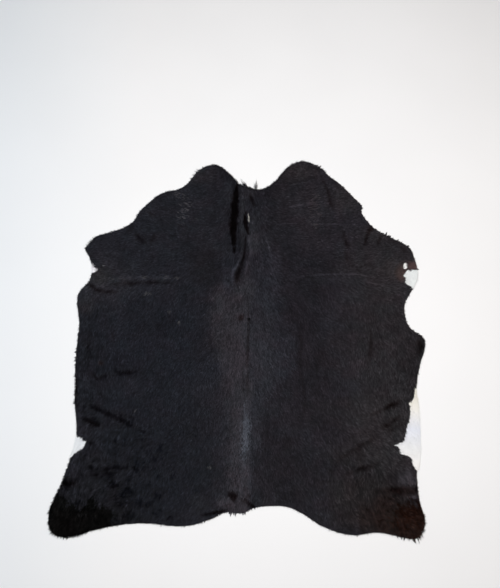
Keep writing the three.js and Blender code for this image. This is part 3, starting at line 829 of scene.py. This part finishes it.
def blur(values, size):
    reach = int(BLUR_REACH * size / FIELD_STEP)
    steps = np.arange(-reach, reach + 1) * FIELD_STEP / size
    weights = np.exp(-0.5 * steps**2)
    weights /= weights.sum()
    for axis in (0, 1):
        values = np.apply_along_axis(np.convolve, axis, values, weights, mode="same")
    return values


def fold_heights(solid):
    """How far the folds lift the part's underside off the floor, on the grid, carried past the rim."""
    tree = BVHTree.FromBMesh(solid)
    x, y = grid(FIELD_STEP)
    lift = np.zeros(x.shape)
    known = np.zeros(x.shape)
    up = Vector((0, 0, 1))
    for i, j in np.ndindex(x.shape):
        hit = tree.ray_cast(Vector((x[i, j], y[i, j], -1)), up)[0]
        if hit is not None:
            lift[i, j] = hit.z
            known[i, j] = 1
    return blur(lift * known, FOLD_BLUR) / np.maximum(blur(known, FOLD_BLUR), TINY)


def line_profile(line, soft, x, y):
    """1 along a line of points with half widths, fading at its sides over a share of the half width, and
    the way along the line from 0 to 1."""
    away, along = line_distance(x, y, line)
    half = np.interp(along, np.linspace(0, 1, len(line)), [half for _, _, half in line])
    half = half * (1 + LINE_UNEVEN * pattern["edge"](x, y) + LINE_FRAY * pattern["fray"](x, y))
    return smoothstep(1.0, 1.0 - soft, away / half), along


def crease_profile(crease, x, y):
    """How strong a crease is at points. Where it is soft it is patchy too, and fades at its ends."""
    strong, along = line_profile(crease.line, crease.soft, x, y)
    ended = 1 - off_ends(along, CREASE_END)
    patchy = LINE_PATCHY * smoothstep(*PATCHY_RANGE, pattern["patchy"](x, y))
    return strong * (1 - CREASE_END_FADE * crease.soft**3 * ended) * (1 - crease.soft**3 * patchy)


def sheet_heights(solid):
    """Height of the skin's underside: the part's folds, with the creases cut into them and slow swells."""
    x, y = grid(FIELD_STEP)
    lift = fold_heights(solid) + SWELL_HEIGHT * np.maximum(0, pattern["swell"](x, y))
    for crease in CREASES:
        lift = lift - crease.depth * crease_profile(crease, x, y)
    return Field(FIELD_LOW, FIELD_STEP, np.maximum(0, lift))


def shagginess(x, y):
    """Where the coat is longer and clumps: low on the flanks and on the hind legs."""
    low = smoothstep(*SHAGGY_LOW_Y, y) * smoothstep(*SHAGGY_LOW_X, np.abs(x))
    belly = smoothstep(*SHAGGY_BELLY_X, np.abs(x)) * smoothstep(*SHAGGY_BELLY_Y, y)
    return np.maximum(low, SHAGGY_BELLY * belly) * np.where(x > 0, RIGHT_CALM, 1.0)


def flow(x, y):
    """The way the hair lies: back along the spine, out and back on the flanks, across on the neck."""
    away = x - SPINE_X
    out = smoothstep(*OUT_X, np.abs(away))
    neck = smoothstep(*NECK_Y, y)
    foreleg = smoothstep(*FORELEG_X, np.abs(away)) * bell((y - FORELEG_Y) / FORELEG_REACH)
    belly = smoothstep(*BELLY_X, np.abs(away)) * bell((y - BELLY_Y) / BELLY_REACH)
    sideways = out * (FLANK_TURN + NECK_TURN * neck - BELLY_TURN * belly) + FORELEG_TURN * foreleg
    sideways = np.clip(sideways, 0, 1)
    angle = np.arctan2(-(BACKWARD - sideways), np.sign(away) * sideways)
    turn = BROAD_WAVER * pattern["broad turn"](x, y) + FINE_WAVER * pattern["fine turn"](x, y)
    return angle + turn * (SPINE_WAVER + (1 - SPINE_WAVER) * out) * (1 + SHAGGY_WAVER * shagginess(x, y))


def patch_of(x, y, astray=0.0):
    """Which patch each point is in, or -1. Astray is a number for each point that moves soft edges."""
    found = np.full(np.shape(x), -1)
    edge, fray = pattern["edge"], pattern["fray"]
    wander_x = edge(x + EDGE_SHIFT, y) + fray(x, y)
    wander_y = edge(x, y - EDGE_SHIFT) + fray(x + FRAY_SHIFT, y)
    for k, patch in enumerate(PATCHES):
        moved_x = x + patch.ragged * wander_x + patch.soft * astray
        moved_y = y + patch.ragged * wander_y + patch.soft * astray
        found[inside_polygon(moved_x, moved_y, patch.outline)] = k
    return found


def band_colour(colour, x, y):
    """Lays the lighter band along the spine, partly painted sheen, over the colours."""
    places = [-edge.y for edge in BAND]
    stray = BAND_RAGGED * (pattern["edge"](x, y) + pattern["fray"](x, y))
    left = np.interp(-y, places, [edge.left for edge in BAND]) + stray
    right = np.interp(-y, places, [edge.right for edge in BAND]) + stray
    share = smoothstep(left - BAND_LEFT_SOFT, left + BAND_LEFT_SOFT, x)
    share = share * smoothstep(right + BAND_RIGHT_SOFT, right - BAND_RIGHT_SOFT, x)
    turn = smoothstep(SPINE_X - BAND_BLEND[0], SPINE_X + BAND_BLEND[1], x)
    share = share * (smoothstep(*BAND_LEFT_FADE, y) * (1 - turn) + smoothstep(*BAND_RIGHT_FADE, y) * turn)
    band = np.array(BAND_LEFT) * (1 - turn)[:, None] + np.array(BAND_RIGHT) * turn[:, None]
    return colour + (band - colour) * share[:, None]


def coat_colour(x, y, astray=0.0):
    """The coat's colour at points, without the differences between single locks, where it is pale, and
    where it lies so deep that it hardly shines. The colour holds painted shade in the creases, painted
    highlights on the ridges, and painted sheen and shade from the zones and the band."""
    colour = np.tile(np.array(BASE_COAT), (len(x), 1))
    # Zones: the hair's own colours with painted sheen and shade laid into them
    for zone in ZONES:
        uneven = 1 + ZONE_BROAD * pattern["broad"](x + zone.x, y)
        uneven = uneven + ZONE_FINE * pattern["fine"](x, y + zone.y)
        share = zone.strength * smoothstep(*ZONE_EDGE, off_middle(zone, x, y) * uneven)
        colour += (np.array(zone.colour) - colour) * share[:, None]
        if zone.name == BAND_AFTER:
            colour = band_colour(colour, x, y)
    found = patch_of(x, y, astray)
    for k, patch in enumerate(PATCHES):
        inside = found == k
        ends = [spot for _, spot in patch.outline]
        down = np.linspace(max(ends), min(ends), len(patch.colours))
        for channel, shades in enumerate(zip(*patch.colours)):
            colour[inside, channel] = np.interp(-y[inside], -down, shades)
    pale = colour[:, 1] > PALE
    shaggy = shagginess(x, y)
    tone = 1
    for name, strength in TONES.items():
        tone = tone + graded(strength, shaggy) * pattern[name](x, y)
    tone = tone + STREAK_TONE * bell((x - SPINE_X) / STREAK_REACH) * pattern["streak"](x, y)
    # Painted shade in the troughs, folds and rim lines, and painted highlights on the ridges
    crease_shade_and_highlight = np.ones(len(x))
    for crease in CREASES:
        crease_shade_and_highlight *= 1 + (crease.tone - 1) * crease_profile(crease, x, y)
    hue = np.where(crease_shade_and_highlight[:, None] < 1, np.array(CREASE_SHADE_HUE), 1.0)
    varied = colour * np.clip(tone, *TONE_RANGE)[:, None] * crease_shade_and_highlight[:, None] ** hue
    varied *= 1 + pattern["hue"](x, y)[:, None] * HUE_SHIFT
    colour = np.where(pale[:, None], colour, varied)
    deep = ~pale & ((crease_shade_and_highlight < DEEP_TONE) | (colour[:, 1] < DEEP))
    return colour, pale, deep


def linked(name, data):
    """A new object in the scene."""
    thing = bpy.data.objects.new(name, data)
    bpy.context.scene.collection.objects.link(thing)
    return thing


def mesh_piece(name, points, triangles, tint, slots):
    """A mesh object with a colour for each vertex and a material slot for each triangle."""
    mesh = bpy.data.meshes.new(name)
    mesh.vertices.add(len(points))
    mesh.vertices.foreach_set("co", points.astype(np.float32).ravel())
    mesh.loops.add(triangles.size)
    mesh.loops.foreach_set("vertex_index", triangles.astype(np.int32).ravel())
    mesh.polygons.add(len(triangles))
    mesh.polygons.foreach_set("loop_start", np.arange(0, triangles.size, 3, dtype=np.int32))
    mesh.polygons.foreach_set("use_smooth", np.full(len(triangles), True))
    mesh.polygons.foreach_set("material_index", slots.astype(np.int32))
    mesh.update(calc_edges=True)
    colours = mesh.color_attributes.new("tint", "FLOAT_COLOR", "POINT")
    rgba = np.concatenate([tint, np.ones((len(tint), 1))], axis=1)
    colours.data.foreach_set("color", rgba.astype(np.float32).ravel())
    return linked(name, mesh)


def map_from_above(mesh, points, triangles):
    """Gives a mesh a map of the hide seen from above, a little inside the map's edges."""
    low = points[:, :2].min(0)
    reach = points[:, :2].max(0) - low
    across = MAP_MARGIN + (1 - 2 * MAP_MARGIN) * (points[:, :2] - low) / reach
    flat = mesh.uv_layers.new(name="OFBake")
    flat.data.foreach_set("uv", across[triangles.ravel()].astype(np.float32).ravel())


def inward(spots):
    """The way into the hide at points near its rim, one long."""
    x, y = spots.T
    slope_x = inside_by.at(x + SLOPE_STEP, y) - inside_by.at(x - SLOPE_STEP, y)
    slope_y = inside_by.at(x, y + SLOPE_STEP) - inside_by.at(x, y - SLOPE_STEP)
    steep = np.maximum(np.hypot(slope_x, slope_y), TINY)
    return np.stack([slope_x / steep, slope_y / steep], 1)


def skin_points(rng):
    """Scattered points inside the cut edge, about one for each cell."""
    x, y = (g.ravel() for g in grid(SKIN_CELL))
    x = x + rng.uniform(-SKIN_SCATTER, SKIN_SCATTER, x.size) * SKIN_CELL
    y = y + rng.uniform(-SKIN_SCATTER, SKIN_SCATTER, y.size) * SKIN_CELL
    keep = inside_by.at(x, y) > SKIN_INSET + 0.5 * SKIN_CELL
    return np.stack([x[keep], y[keep]], 1)


def make_skin():
    """The skin as one closed sheet: hair side, flesh side and the cut edge between them."""
    edge = RIM + SKIN_INSET * inward(RIM)
    flat = np.concatenate([edge, skin_points(np.random.default_rng(SKIN_SEED))])
    count = len(edge)
    ring = [(k, (k + 1) % count) for k in range(count)]
    found = delaunay_2d_cdt([Vector(p) for p in flat], ring, [list(range(count))], INSIDE_ONLY, SKIN_CLOSE)
    flat = np.array([(p.x, p.y) for p in found[0]])
    top = np.array([f for f in found[2] if len(f) == 3])
    a, b, c = flat[top[:, 0]], flat[top[:, 1]], flat[top[:, 2]]
    turned = (b[:, 0] - a[:, 0]) * (c[:, 1] - a[:, 1]) < (b[:, 1] - a[:, 1]) * (c[:, 0] - a[:, 0])
    top[turned] = top[turned][:, ::-1]
    total = len(flat)
    under = height.at(flat[:, 0], flat[:, 1])
    points = np.concatenate([np.column_stack([flat, under + SKIN]), np.column_stack([flat, under])])
    ways = np.concatenate([top[:, [0, 1]], top[:, [1, 2]], top[:, [2, 0]]])
    _, first, times = np.unique(np.sort(ways, axis=1), axis=0, return_index=True, return_counts=True)
    rim = ways[first[times == 1]]
    side = np.concatenate([
        np.column_stack([rim[:, 0], rim[:, 0] + total, rim[:, 1] + total]),
        np.column_stack([rim[:, 0], rim[:, 1] + total, rim[:, 1]]),
    ])
    triangles = np.concatenate([top, top[:, ::-1] + total, side])
    tint, pale, _ = coat_colour(points[:, 0], points[:, 1])
    # The hair on the skin darkened as painted shade under the locks, where the coat isn't pale
    tint = np.where(pale[:, None], tint, UNDER_SHADE * tint)
    slots = np.repeat([0, 1, 2], [len(top), len(top), len(side)])
    piece = mesh_piece("skin", points, triangles, tint, slots)
    ends = np.zeros(2 * len(piece.data.edges), np.int32)
    piece.data.edges.foreach_get("vertices", ends)
    on_rim = np.zeros(2 * total, bool)
    on_rim[np.unique(rim)] = True
    on_rim[np.unique(rim) + total] = True
    piece.data.edges.foreach_set("use_edge_sharp", on_rim[ends.reshape(-1, 2)].all(1))
    for material in (under_hair_material(), suede_material(), cut_edge_material()):
        piece.data.materials.append(material)
    return piece


def lock_points(root, angle, length, width, middle, tip, curl, drawn):
    """Five points for each lock: root, both sides and the ridge of its middle, and tip."""
    ahead = headed(angle)
    across = np.stack([-ahead[:, 1], ahead[:, 0]], 1)
    half = root + headed(angle, 0.5 * length) + across * (curl * length * CURL_MIDDLE)[:, None]
    end = root + headed(angle, length) - across * (curl * length * CURL_TIP)[:, None]
    if drawn is not None:
        end = end + drawn
        half = half + PULL_MIDDLE * drawn
    beside = across * (0.5 * width)[:, None]
    flats = [root, half + beside, half, half - beside, end]
    rises = [np.full(len(root), ROOT_RISE), middle, middle + LOCK_RIDGE, middle, tip]
    placed = [np.column_stack([flat, height.at(*flat.T) + SKIN + rise]) for flat, rise in zip(flats, rises)]
    return np.stack(placed, 1)


def within_rim(root, angle, length, overhang):
    """Lengths cut so that a lock passes the rim by its overhang at most."""
    start = inside_by.at(*root.T)
    finish = inside_by.at(*(root + headed(angle, length)).T)
    share = (start + overhang) / np.maximum(start - finish, TINY)
    return np.where(finish < -overhang, length * np.clip(share, SHORTEST, 1), length)


def clump_pull(root):
    """For each root, the way across the hair to its clump's middle line, a number from -1 to 1 for each
    clump, and how near the root is to the parting between two clumps, from 0 to 1."""
    rng = np.random.default_rng(CLUMP_SEED)
    side = np.where(root[:, 0] > SPINE_X, 1.0, -1.0)
    lean, drop = math.sin(CLUMP_LEAN), math.cos(CLUMP_LEAN)
    across = drop * side * root[:, 0] + lean * root[:, 1]
    along = (lean * side * root[:, 0] - drop * root[:, 1]) / CLUMP_STRETCH
    combed = np.stack([across, along], 1)
    low = combed.min(0) - 2 * CLUMP
    cells = ((combed.max(0) - low) / CLUMP).astype(int) + SPARE_CELLS
    jitter = rng.uniform(*CLUMP_JITTER, (*cells, 2))
    number = rng.uniform(-1, 1, cells)
    cell = ((combed - low) / CLUMP).astype(int)
    best = np.full(len(root), np.inf)
    second = np.full(len(root), np.inf)
    pull = np.zeros(len(root))
    mark = np.zeros(len(root))
    for step in [(i, j) for i in (-1, 0, 1) for j in (-1, 0, 1)]:
        at = np.clip(cell + np.array(step), 0, cells - 1)
        way = (at + jitter[at[:, 0], at[:, 1]]) * CLUMP + low - combed
        far = np.hypot(way[:, 0], way[:, 1])
        closer = far < best
        second = np.where(closer, best, np.minimum(second, far))
        best = np.where(closer, far, best)
        pull = np.where(closer, way[:, 0], pull)
        mark = np.where(closer, number[at[:, 0], at[:, 1]], mark)
    parting = smoothstep(CLUMP_PARTING * CLUMP, 0.0, second - best)
    return np.stack([drop * side * pull, lean * pull], 1), mark, parting


def scattered_roots(rng, count):
    """About that many roots, one in each cell of an even grid over the skin."""
    pitch = math.sqrt(abs(signed_area(RIM)) / count)
    x, y = (g.ravel() for g in grid(pitch))
    root = np.stack([x, y], 1) + rng.uniform(-0.5, 0.5, (x.size, 2)) * pitch
    return root[inside_by.at(*root.T) > SKIN_INSET + ROOT_INSET]


def lock_looks(seen, rng, lightness, clump, parting):
    """A colour for each of a lock's five points, from the place where it is seen most, and a finish for
    each lock."""
    count = len(seen)
    x, y = seen.T
    colour, pale, deep = coat_colour(x, y, rng.normal(0, 1, count))
    for fleck in FLECKS:
        picked = rng.uniform(0, 1, count) < fleck.share * smoothstep(*FLECK_EDGE, off_middle(fleck, x, y))
        colour[picked & ~pale] = fleck.colour
    finish = np.where(deep, DULL, np.where(pale, WHITE, PLAIN))
    for sheen in SHEENS:
        strong, along = line_profile(sheen.line, 1.0, x, y)
        fewer = SHEEN_END_SHARE + (1 - SHEEN_END_SHARE) * off_ends(along, SHEEN_END)
        picked = rng.uniform(0, 1, count) < sheen.share * strong * fewer
        finish[picked & ~pale & ~deep] = sheen.finish
    shaggy = shagginess(x, y)
    vary = np.exp(rng.normal(0, LOCK_VARY, count) + graded(CLUMP_VARY, shaggy) * clump)
    # Painted shade in the partings between clumps
    vary = vary * (1 - graded(PARTING_SHADE, shaggy) * parting)
    vary = vary ** (1 - CALMED * smoothstep(*CALM_COAT, colour[:, 1]))
    # A layer's lightness: painted shade on the lower layers and painted sheen on the top one
    vary = np.where(pale, 1 + PALE_VARY * clump, vary * lightness)
    # Painted shade at each lock's root and sides, brightest at the ridge and tip
    along = np.where(pale[:, None], PALE_SHADES, LOCK_SHADES)
    tint = colour[:, None, :] * (vary[:, None] * along)[:, :, None]
    return np.clip(tint, 0, BRIGHTEST).reshape(-1, 3), finish


def make_locks(name, rng, root, angle, length, width, rise, lightness, drawn=None):
    """One mesh of locks. Rise is a lock's height above the skin at its middle and at its tip."""
    count = len(root)
    _, clump, parting = clump_pull(root)
    curl = rng.normal(0, LOCK_CURL, count)
    points = lock_points(root, angle, length, width, *rise, curl, drawn).reshape(-1, 3)
    seen = root + headed(angle, LOCK_SEEN * length)
    tint, finish = lock_looks(seen, rng, lightness, clump, parting)
    triangles = (LOCK_POINTS * np.arange(count)[:, None, None] + LOCK_TRIANGLES).reshape(-1, 3)
    piece = mesh_piece(name, points, triangles, tint, np.repeat(finish, len(LOCK_TRIANGLES)))
    map_from_above(piece.data, points, triangles)
    return piece


def make_layer(layer):
    rng = np.random.default_rng(layer.seed)
    root = scattered_roots(rng, LOCKS_IN_LAYER)
    count = len(root)
    x, y = root.T
    shaggy = shagginess(x, y)
    pull, mark, parting = clump_pull(root)
    turn = rng.normal(0, LOCK_TURN, count) * (1 + SHAGGY_TURN * shaggy)
    angle = flow(x, y) + turn + CLUMP_TURN * shaggy * mark
    length = layer.length * rng.uniform(*LOCK_LENGTHS, count) * (1 + SHAGGY_LENGTH * shaggy)
    crossing = patch_of(x, y) != patch_of(*(root + headed(angle, length)).T)
    length = np.where(crossing, LOCK_CROSSING * length, length)
    length = within_rim(root, angle, length, rng.uniform(*OVERHANG, count))
    width = layer.width * rng.uniform(*LOCK_WIDTHS, count)
    lively = rng.uniform(*LOCK_RISES, count) * (1 + SHAGGY_RISE * shaggy * (1 - parting))
    lively = np.where(coat_colour(x, y)[1], PALE_LOW * lively, lively)
    inner = np.clip(inside_by.at(x, y) / CLUMP_RIM, 0, 1)
    drawn = pull * (graded(CLUMP_DRAW, shaggy) * inner)[:, None]
    rise = (layer.middle * lively, layer.tip * lively)
    return make_locks(layer.name, rng, root, angle, length, width, rise, layer.lightness, drawn)


def rim_spots():
    """Points at even steps along the rim, and how far along it each is."""
    closed = np.concatenate([RIM, RIM[:1]])
    marks = np.concatenate([[0], np.cumsum(np.hypot(*np.diff(closed, axis=0).T))])
    at = np.arange(0, marks[-1], FRINGE_STEP)
    return np.column_stack([np.interp(at, marks, closed[:, k]) for k in (0, 1)]), at


def fringe_hairs(rng):
    """Roots, angles, lengths and widths of the hairs at the rim, with some drawn together to tufts."""
    spots, at = rim_spots()
    count = len(spots)
    out = -inward(spots)
    past = rng.uniform(*FRINGE_PAST, count)
    long = rng.uniform(0, 1, count) < FRINGE_LONG_SHARE
    past = np.where(long, rng.uniform(*FRINGE_LONG, count), past)
    deep = rng.uniform(*FRINGE_ROOT, count)
    root = spots - out * deep[:, None]
    way = FRINGE_LIE * headed(flow(*root.T)) + out + rng.normal(0, FRINGE_STRAY, (count, 2))
    way = way / np.hypot(*way.T)[:, None]
    steep = np.clip(np.sum(way * out, axis=1), FRINGE_STEEP, 1)
    end = root + way * ((deep + past) / steep)[:, None]
    for wisp in WISPS:
        near = smoothstep(*WISP_EDGE, np.hypot(*(spots - (wisp.x, wisp.y)).T) / wisp.reach)
        middle = np.flatnonzero(rng.uniform(0, 1, count) < near * FRINGE_STEP / wisp.apart)
        lean = WISP_LEAN * headed(flow(*spots[middle].T)) + rng.normal(0, WISP_STRAY, (len(middle), 2))
        stand = wisp.past * rng.uniform(*WISP_LENGTHS, len(middle))
        tip = spots[middle] + (out[middle] + lean) * stand[:, None]
        nearest = np.argmin(np.abs(at[:, None] - at[middle]), axis=1)
        own = np.abs(at - at[middle][nearest]) < 0.5 * wisp.width
        drawn = spots + (tip[nearest] - spots) * rng.uniform(*WISP_DRAWN, count)[:, None]
        end = np.where(own[:, None], drawn, end)
    run = end - root
    return root, np.arctan2(run[:, 1], run[:, 0]), np.hypot(*run.T), rng.uniform(*FRINGE_WIDTH, count)


def tuft_hairs(rng):
    """Roots, angles, lengths and widths of the hairs in the neck's tufts."""
    (ax, ay), (bx, by) = NECK_EDGE
    edge = np.array([bx - ax, by - ay]) / math.hypot(bx - ax, by - ay)
    roots, angles, lengths = [], [], []
    for tuft in TUFTS:
        beside = rng.uniform(-1, 1, tuft.count)
        roots.append(np.array([tuft.x, tuft.y]) + edge * (tuft.spread * beside)[:, None])
        lean = TUFT_FAN * beside + TUFT_STRAY * rng.normal(0, 1, tuft.count)
        angles.append(np.radians(tuft.heading + tuft.fan * lean))
        shorter = 1 - TUFT_SIDES_SHORTER * np.abs(beside)
        lengths.append(tuft.length * rng.uniform(*TUFT_LENGTHS, tuft.count) * shorter)
    root, angle, length = (np.concatenate(parts) for parts in (roots, angles, lengths))
    return root, angle, length, rng.uniform(*FRINGE_WIDTH, len(root))


def make_fringe():
    """The fine hairs past the rim, which droop to the floor, and the tufts at the neck."""
    rng = np.random.default_rng(FRINGE_SEED)
    parts = [fringe_hairs(rng), tuft_hairs(rng)]
    root, angle, length, width = (np.concatenate(pieces) for pieces in zip(*parts))
    rise = (rng.uniform(*FRINGE_MIDDLE, len(root)), rng.uniform(*FRINGE_TIP, len(root)))
    return make_locks("fringe", rng, root, angle, length, width, rise, FRINGE_LIGHT)


def make_strays():
    """Thin hairs that lie a little across the others."""
    rng = np.random.default_rng(FRINGE_SEED + 1)
    root = scattered_roots(rng, STRAYS)
    count = len(root)
    angle = flow(*root.T) + rng.normal(0, STRAY_TURN, count)
    length = within_rim(root, angle, rng.uniform(*STRAY_LENGTH, count), rng.uniform(*OVERHANG, count))
    width = STRAY_WIDTH * rng.uniform(*STRAY_WIDTHS, count)
    rise = (rng.uniform(*STRAY_MIDDLE, count), rng.uniform(*STRAY_TIP, count))
    return make_locks("stray_hairs", rng, root, angle, length, width, rise, STRAY_LIGHT)


class Look:
    """A new material, and the nodes that its colour, roughness and bump are made with."""

    def __init__(self, name):
        self.material = bpy.data.materials.new(name)
        self.material.use_nodes = True
        self.tree = self.material.node_tree
        self.shader = self.tree.nodes["Principled BSDF"]

    def node(self, kind, inputs, **settings):
        node = self.tree.nodes.new("ShaderNode" + kind)
        for name, value in settings.items():
            setattr(node, name, value)
        self.feed(node, inputs)
        return node

    def feed(self, node, inputs):
        """Sets a node's inputs to values, or links them to other nodes' outputs."""
        for name, value in inputs.items():
            if isinstance(value, bpy.types.NodeSocket):
                self.tree.links.new(value, node.inputs[name])
            else:
                node.inputs[name].default_value = value

    def place(self):
        """A point's place in the piece's own metres."""
        return self.node("TexCoord", {}).outputs["Object"]

    def noise(self, size, detail, roughness=0.5):
        """A noise with features of about that size."""
        inputs = {"Vector": self.place(), "Scale": 1 / size, "Detail": detail, "Roughness": roughness}
        return self.node("TexNoise", inputs).outputs["Fac"]

    def tint(self):
        """The colour that each of the piece's vertices has."""
        return self.node("Attribute", {}, attribute_name="tint").outputs["Color"]

    def ranged(self, value, low=0.0, high=1.0, start=0.3, finish=0.7):
        """A range of a value, a noise's middle one as a rule, stretched to a new one."""
        inputs = {"Value": value, "From Min": start, "From Max": finish, "To Min": low, "To Max": high}
        return self.node("MapRange", inputs).outputs["Result"]

    def scaled(self, colour, factor):
        return self.node("VectorMath", {0: colour, "Scale": factor}, operation="SCALE").outputs["Vector"]

    def mixed(self, factor, one, other):
        """A blend of two colours. Inputs 6 and 7 and output 2 are the node's colours."""
        inputs = {"Factor": factor, 6: (*one, 1), 7: (*other, 1)}
        return self.node("Mix", inputs, data_type="RGBA").outputs[2]

    def bumped(self, value, depth):
        bump = self.node("Bump", {"Strength": BUMP_STRENGTH, "Distance": depth, "Height": value})
        self.feed(self.shader, {"Normal": bump.outputs["Normal"]})

    def finished(self, colour, rough, shine=USUAL_SHINE, tint=(1, 1, 1)):
        """The material, with its shader fed."""
        shine = {"Specular IOR Level": shine, "Specular Tint": (*tint, 1)}
        self.feed(self.shader, {"Base Color": colour, "Roughness": rough, **shine})
        return self.material


def hair_material(finish):
    look = Look(finish.name)
    streak = look.ranged(look.noise(size=0.0035, detail=3), *finish.streak)
    rough = look.ranged(look.noise(size=0.012, detail=2), *finish.rough)
    return look.finished(look.scaled(look.tint(), streak), rough, finish.shine, finish.tint)


def under_hair_material():
    """Short dark under-hair on the skin, seen only between the locks."""
    look = Look("under_hair")
    fuzz = look.noise(size=0.0025, detail=4)
    colour = look.scaled(look.tint(), look.ranged(fuzz, low=0.74, high=0.98))
    return look.finished(colour, look.ranged(fuzz, low=0.6, high=0.8), shine=0.03)


def suede_material():
    """The flesh side: napped off-white leather with darker cloudy places."""
    look = Look("suede")
    cloud = look.ranged(look.noise(size=0.09, detail=5, roughness=0.6))
    nap = look.noise(size=0.0018, detail=4, roughness=0.65)
    colour = look.mixed(cloud, *SUEDE)
    look.bumped(nap, depth=0.0006)
    colour = look.scaled(colour, look.ranged(nap, low=0.86, high=1.12))
    return look.finished(colour, look.ranged(nap, low=0.82, high=0.96))


def cut_edge_material():
    """The trimmed edge of the leather, with paler fibres."""
    look = Look("cut_edge")
    fibre = look.noise(size=0.0012, detail=3)
    look.bumped(fibre, depth=0.0003)
    colour = look.mixed(fibre, *CUT_EDGE)
    return look.finished(colour, look.ranged(fibre, low=0.7, high=0.9))


def floor_material():
    """A plain pale floor, a little cooler towards its left side as painted cool light."""
    look = Look("floor")
    cloud = look.ranged(look.noise(size=0.6, detail=2))
    across = look.node("SeparateXYZ", {"Vector": look.place()}).outputs["X"]
    side = look.ranged(across, start=FLOOR_COOL_X[0], finish=FLOOR_COOL_X[1])
    colour = look.mixed(side, FLOOR_COOL, FLOOR_GREY)
    colour = look.scaled(colour, look.ranged(cloud, low=0.99, high=1.01, start=0.0, finish=1.0))
    return look.finished(colour, look.ranged(cloud, low=0.5, high=0.6), shine=0.2)


def make_floor():
    mesh = bpy.data.meshes.new("floor")
    ends = [(-1, -1), (1, -1), (1, 1), (-1, 1)]
    mesh.from_pydata([(FLOOR_HALF * x, FLOOR_HALF * y, -FLOOR_DROP) for x, y in ends], [], [(0, 1, 2, 3)])
    mesh.materials.append(floor_material())
    linked("floor", mesh)


def make_lights():
    for lamp in LAMPS:
        data = bpy.data.lights.new(lamp.name, "AREA")
        data.shape = "DISK"
        data.size = lamp.size
        data.energy = lamp.power
        data.color = lamp.colour
        light = linked(lamp.name, data)
        light.location = lamp.place
        light.rotation_mode = "QUATERNION"
        light.rotation_quaternion = (Vector(lamp.aim) - Vector(lamp.place)).to_track_quat("-Z", "Y")
    world = bpy.data.worlds.new("studio")
    world.use_nodes = True
    sky = world.node_tree.nodes["Background"]
    sky.inputs["Color"].default_value = (*SKY_COLOUR, 1)
    sky.inputs["Strength"].default_value = SKY_STRENGTH
    bpy.context.scene.world = world


def make_camera():
    data = bpy.data.cameras.new("camera")
    data.lens = CAMERA_LENS
    data.sensor_width = CAMERA_SENSOR
    camera = linked("camera", data)
    camera.location = CAMERA_PLACE
    camera.rotation_euler = (CAMERA_PITCH, 0, 0)
    bpy.context.scene.camera = camera


make_camera()
make_floor()
make_lights()
bpy.context.scene.view_settings.view_transform = "Standard"

pattern = {row.name: noise(row.seed, row.size, row.stretch) for row in PATTERNS}
solid = welded_part()
RIM = without_tufts(rim_loop(solid))
inside_by = rim_distance(RIM)
height = sheet_heights(solid)
solid.free()

skin = make_skin()
finishes = [hair_material(finish) for finish in FINISHES]
coat = [make_layer(layer) for layer in LAYERS]
coat += [make_fringe(), make_strays()]
for piece in coat:
    for finish in finishes:
        piece.data.materials.append(finish)
for piece in [skin, *coat]:
    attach(piece, "root")
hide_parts("hide")
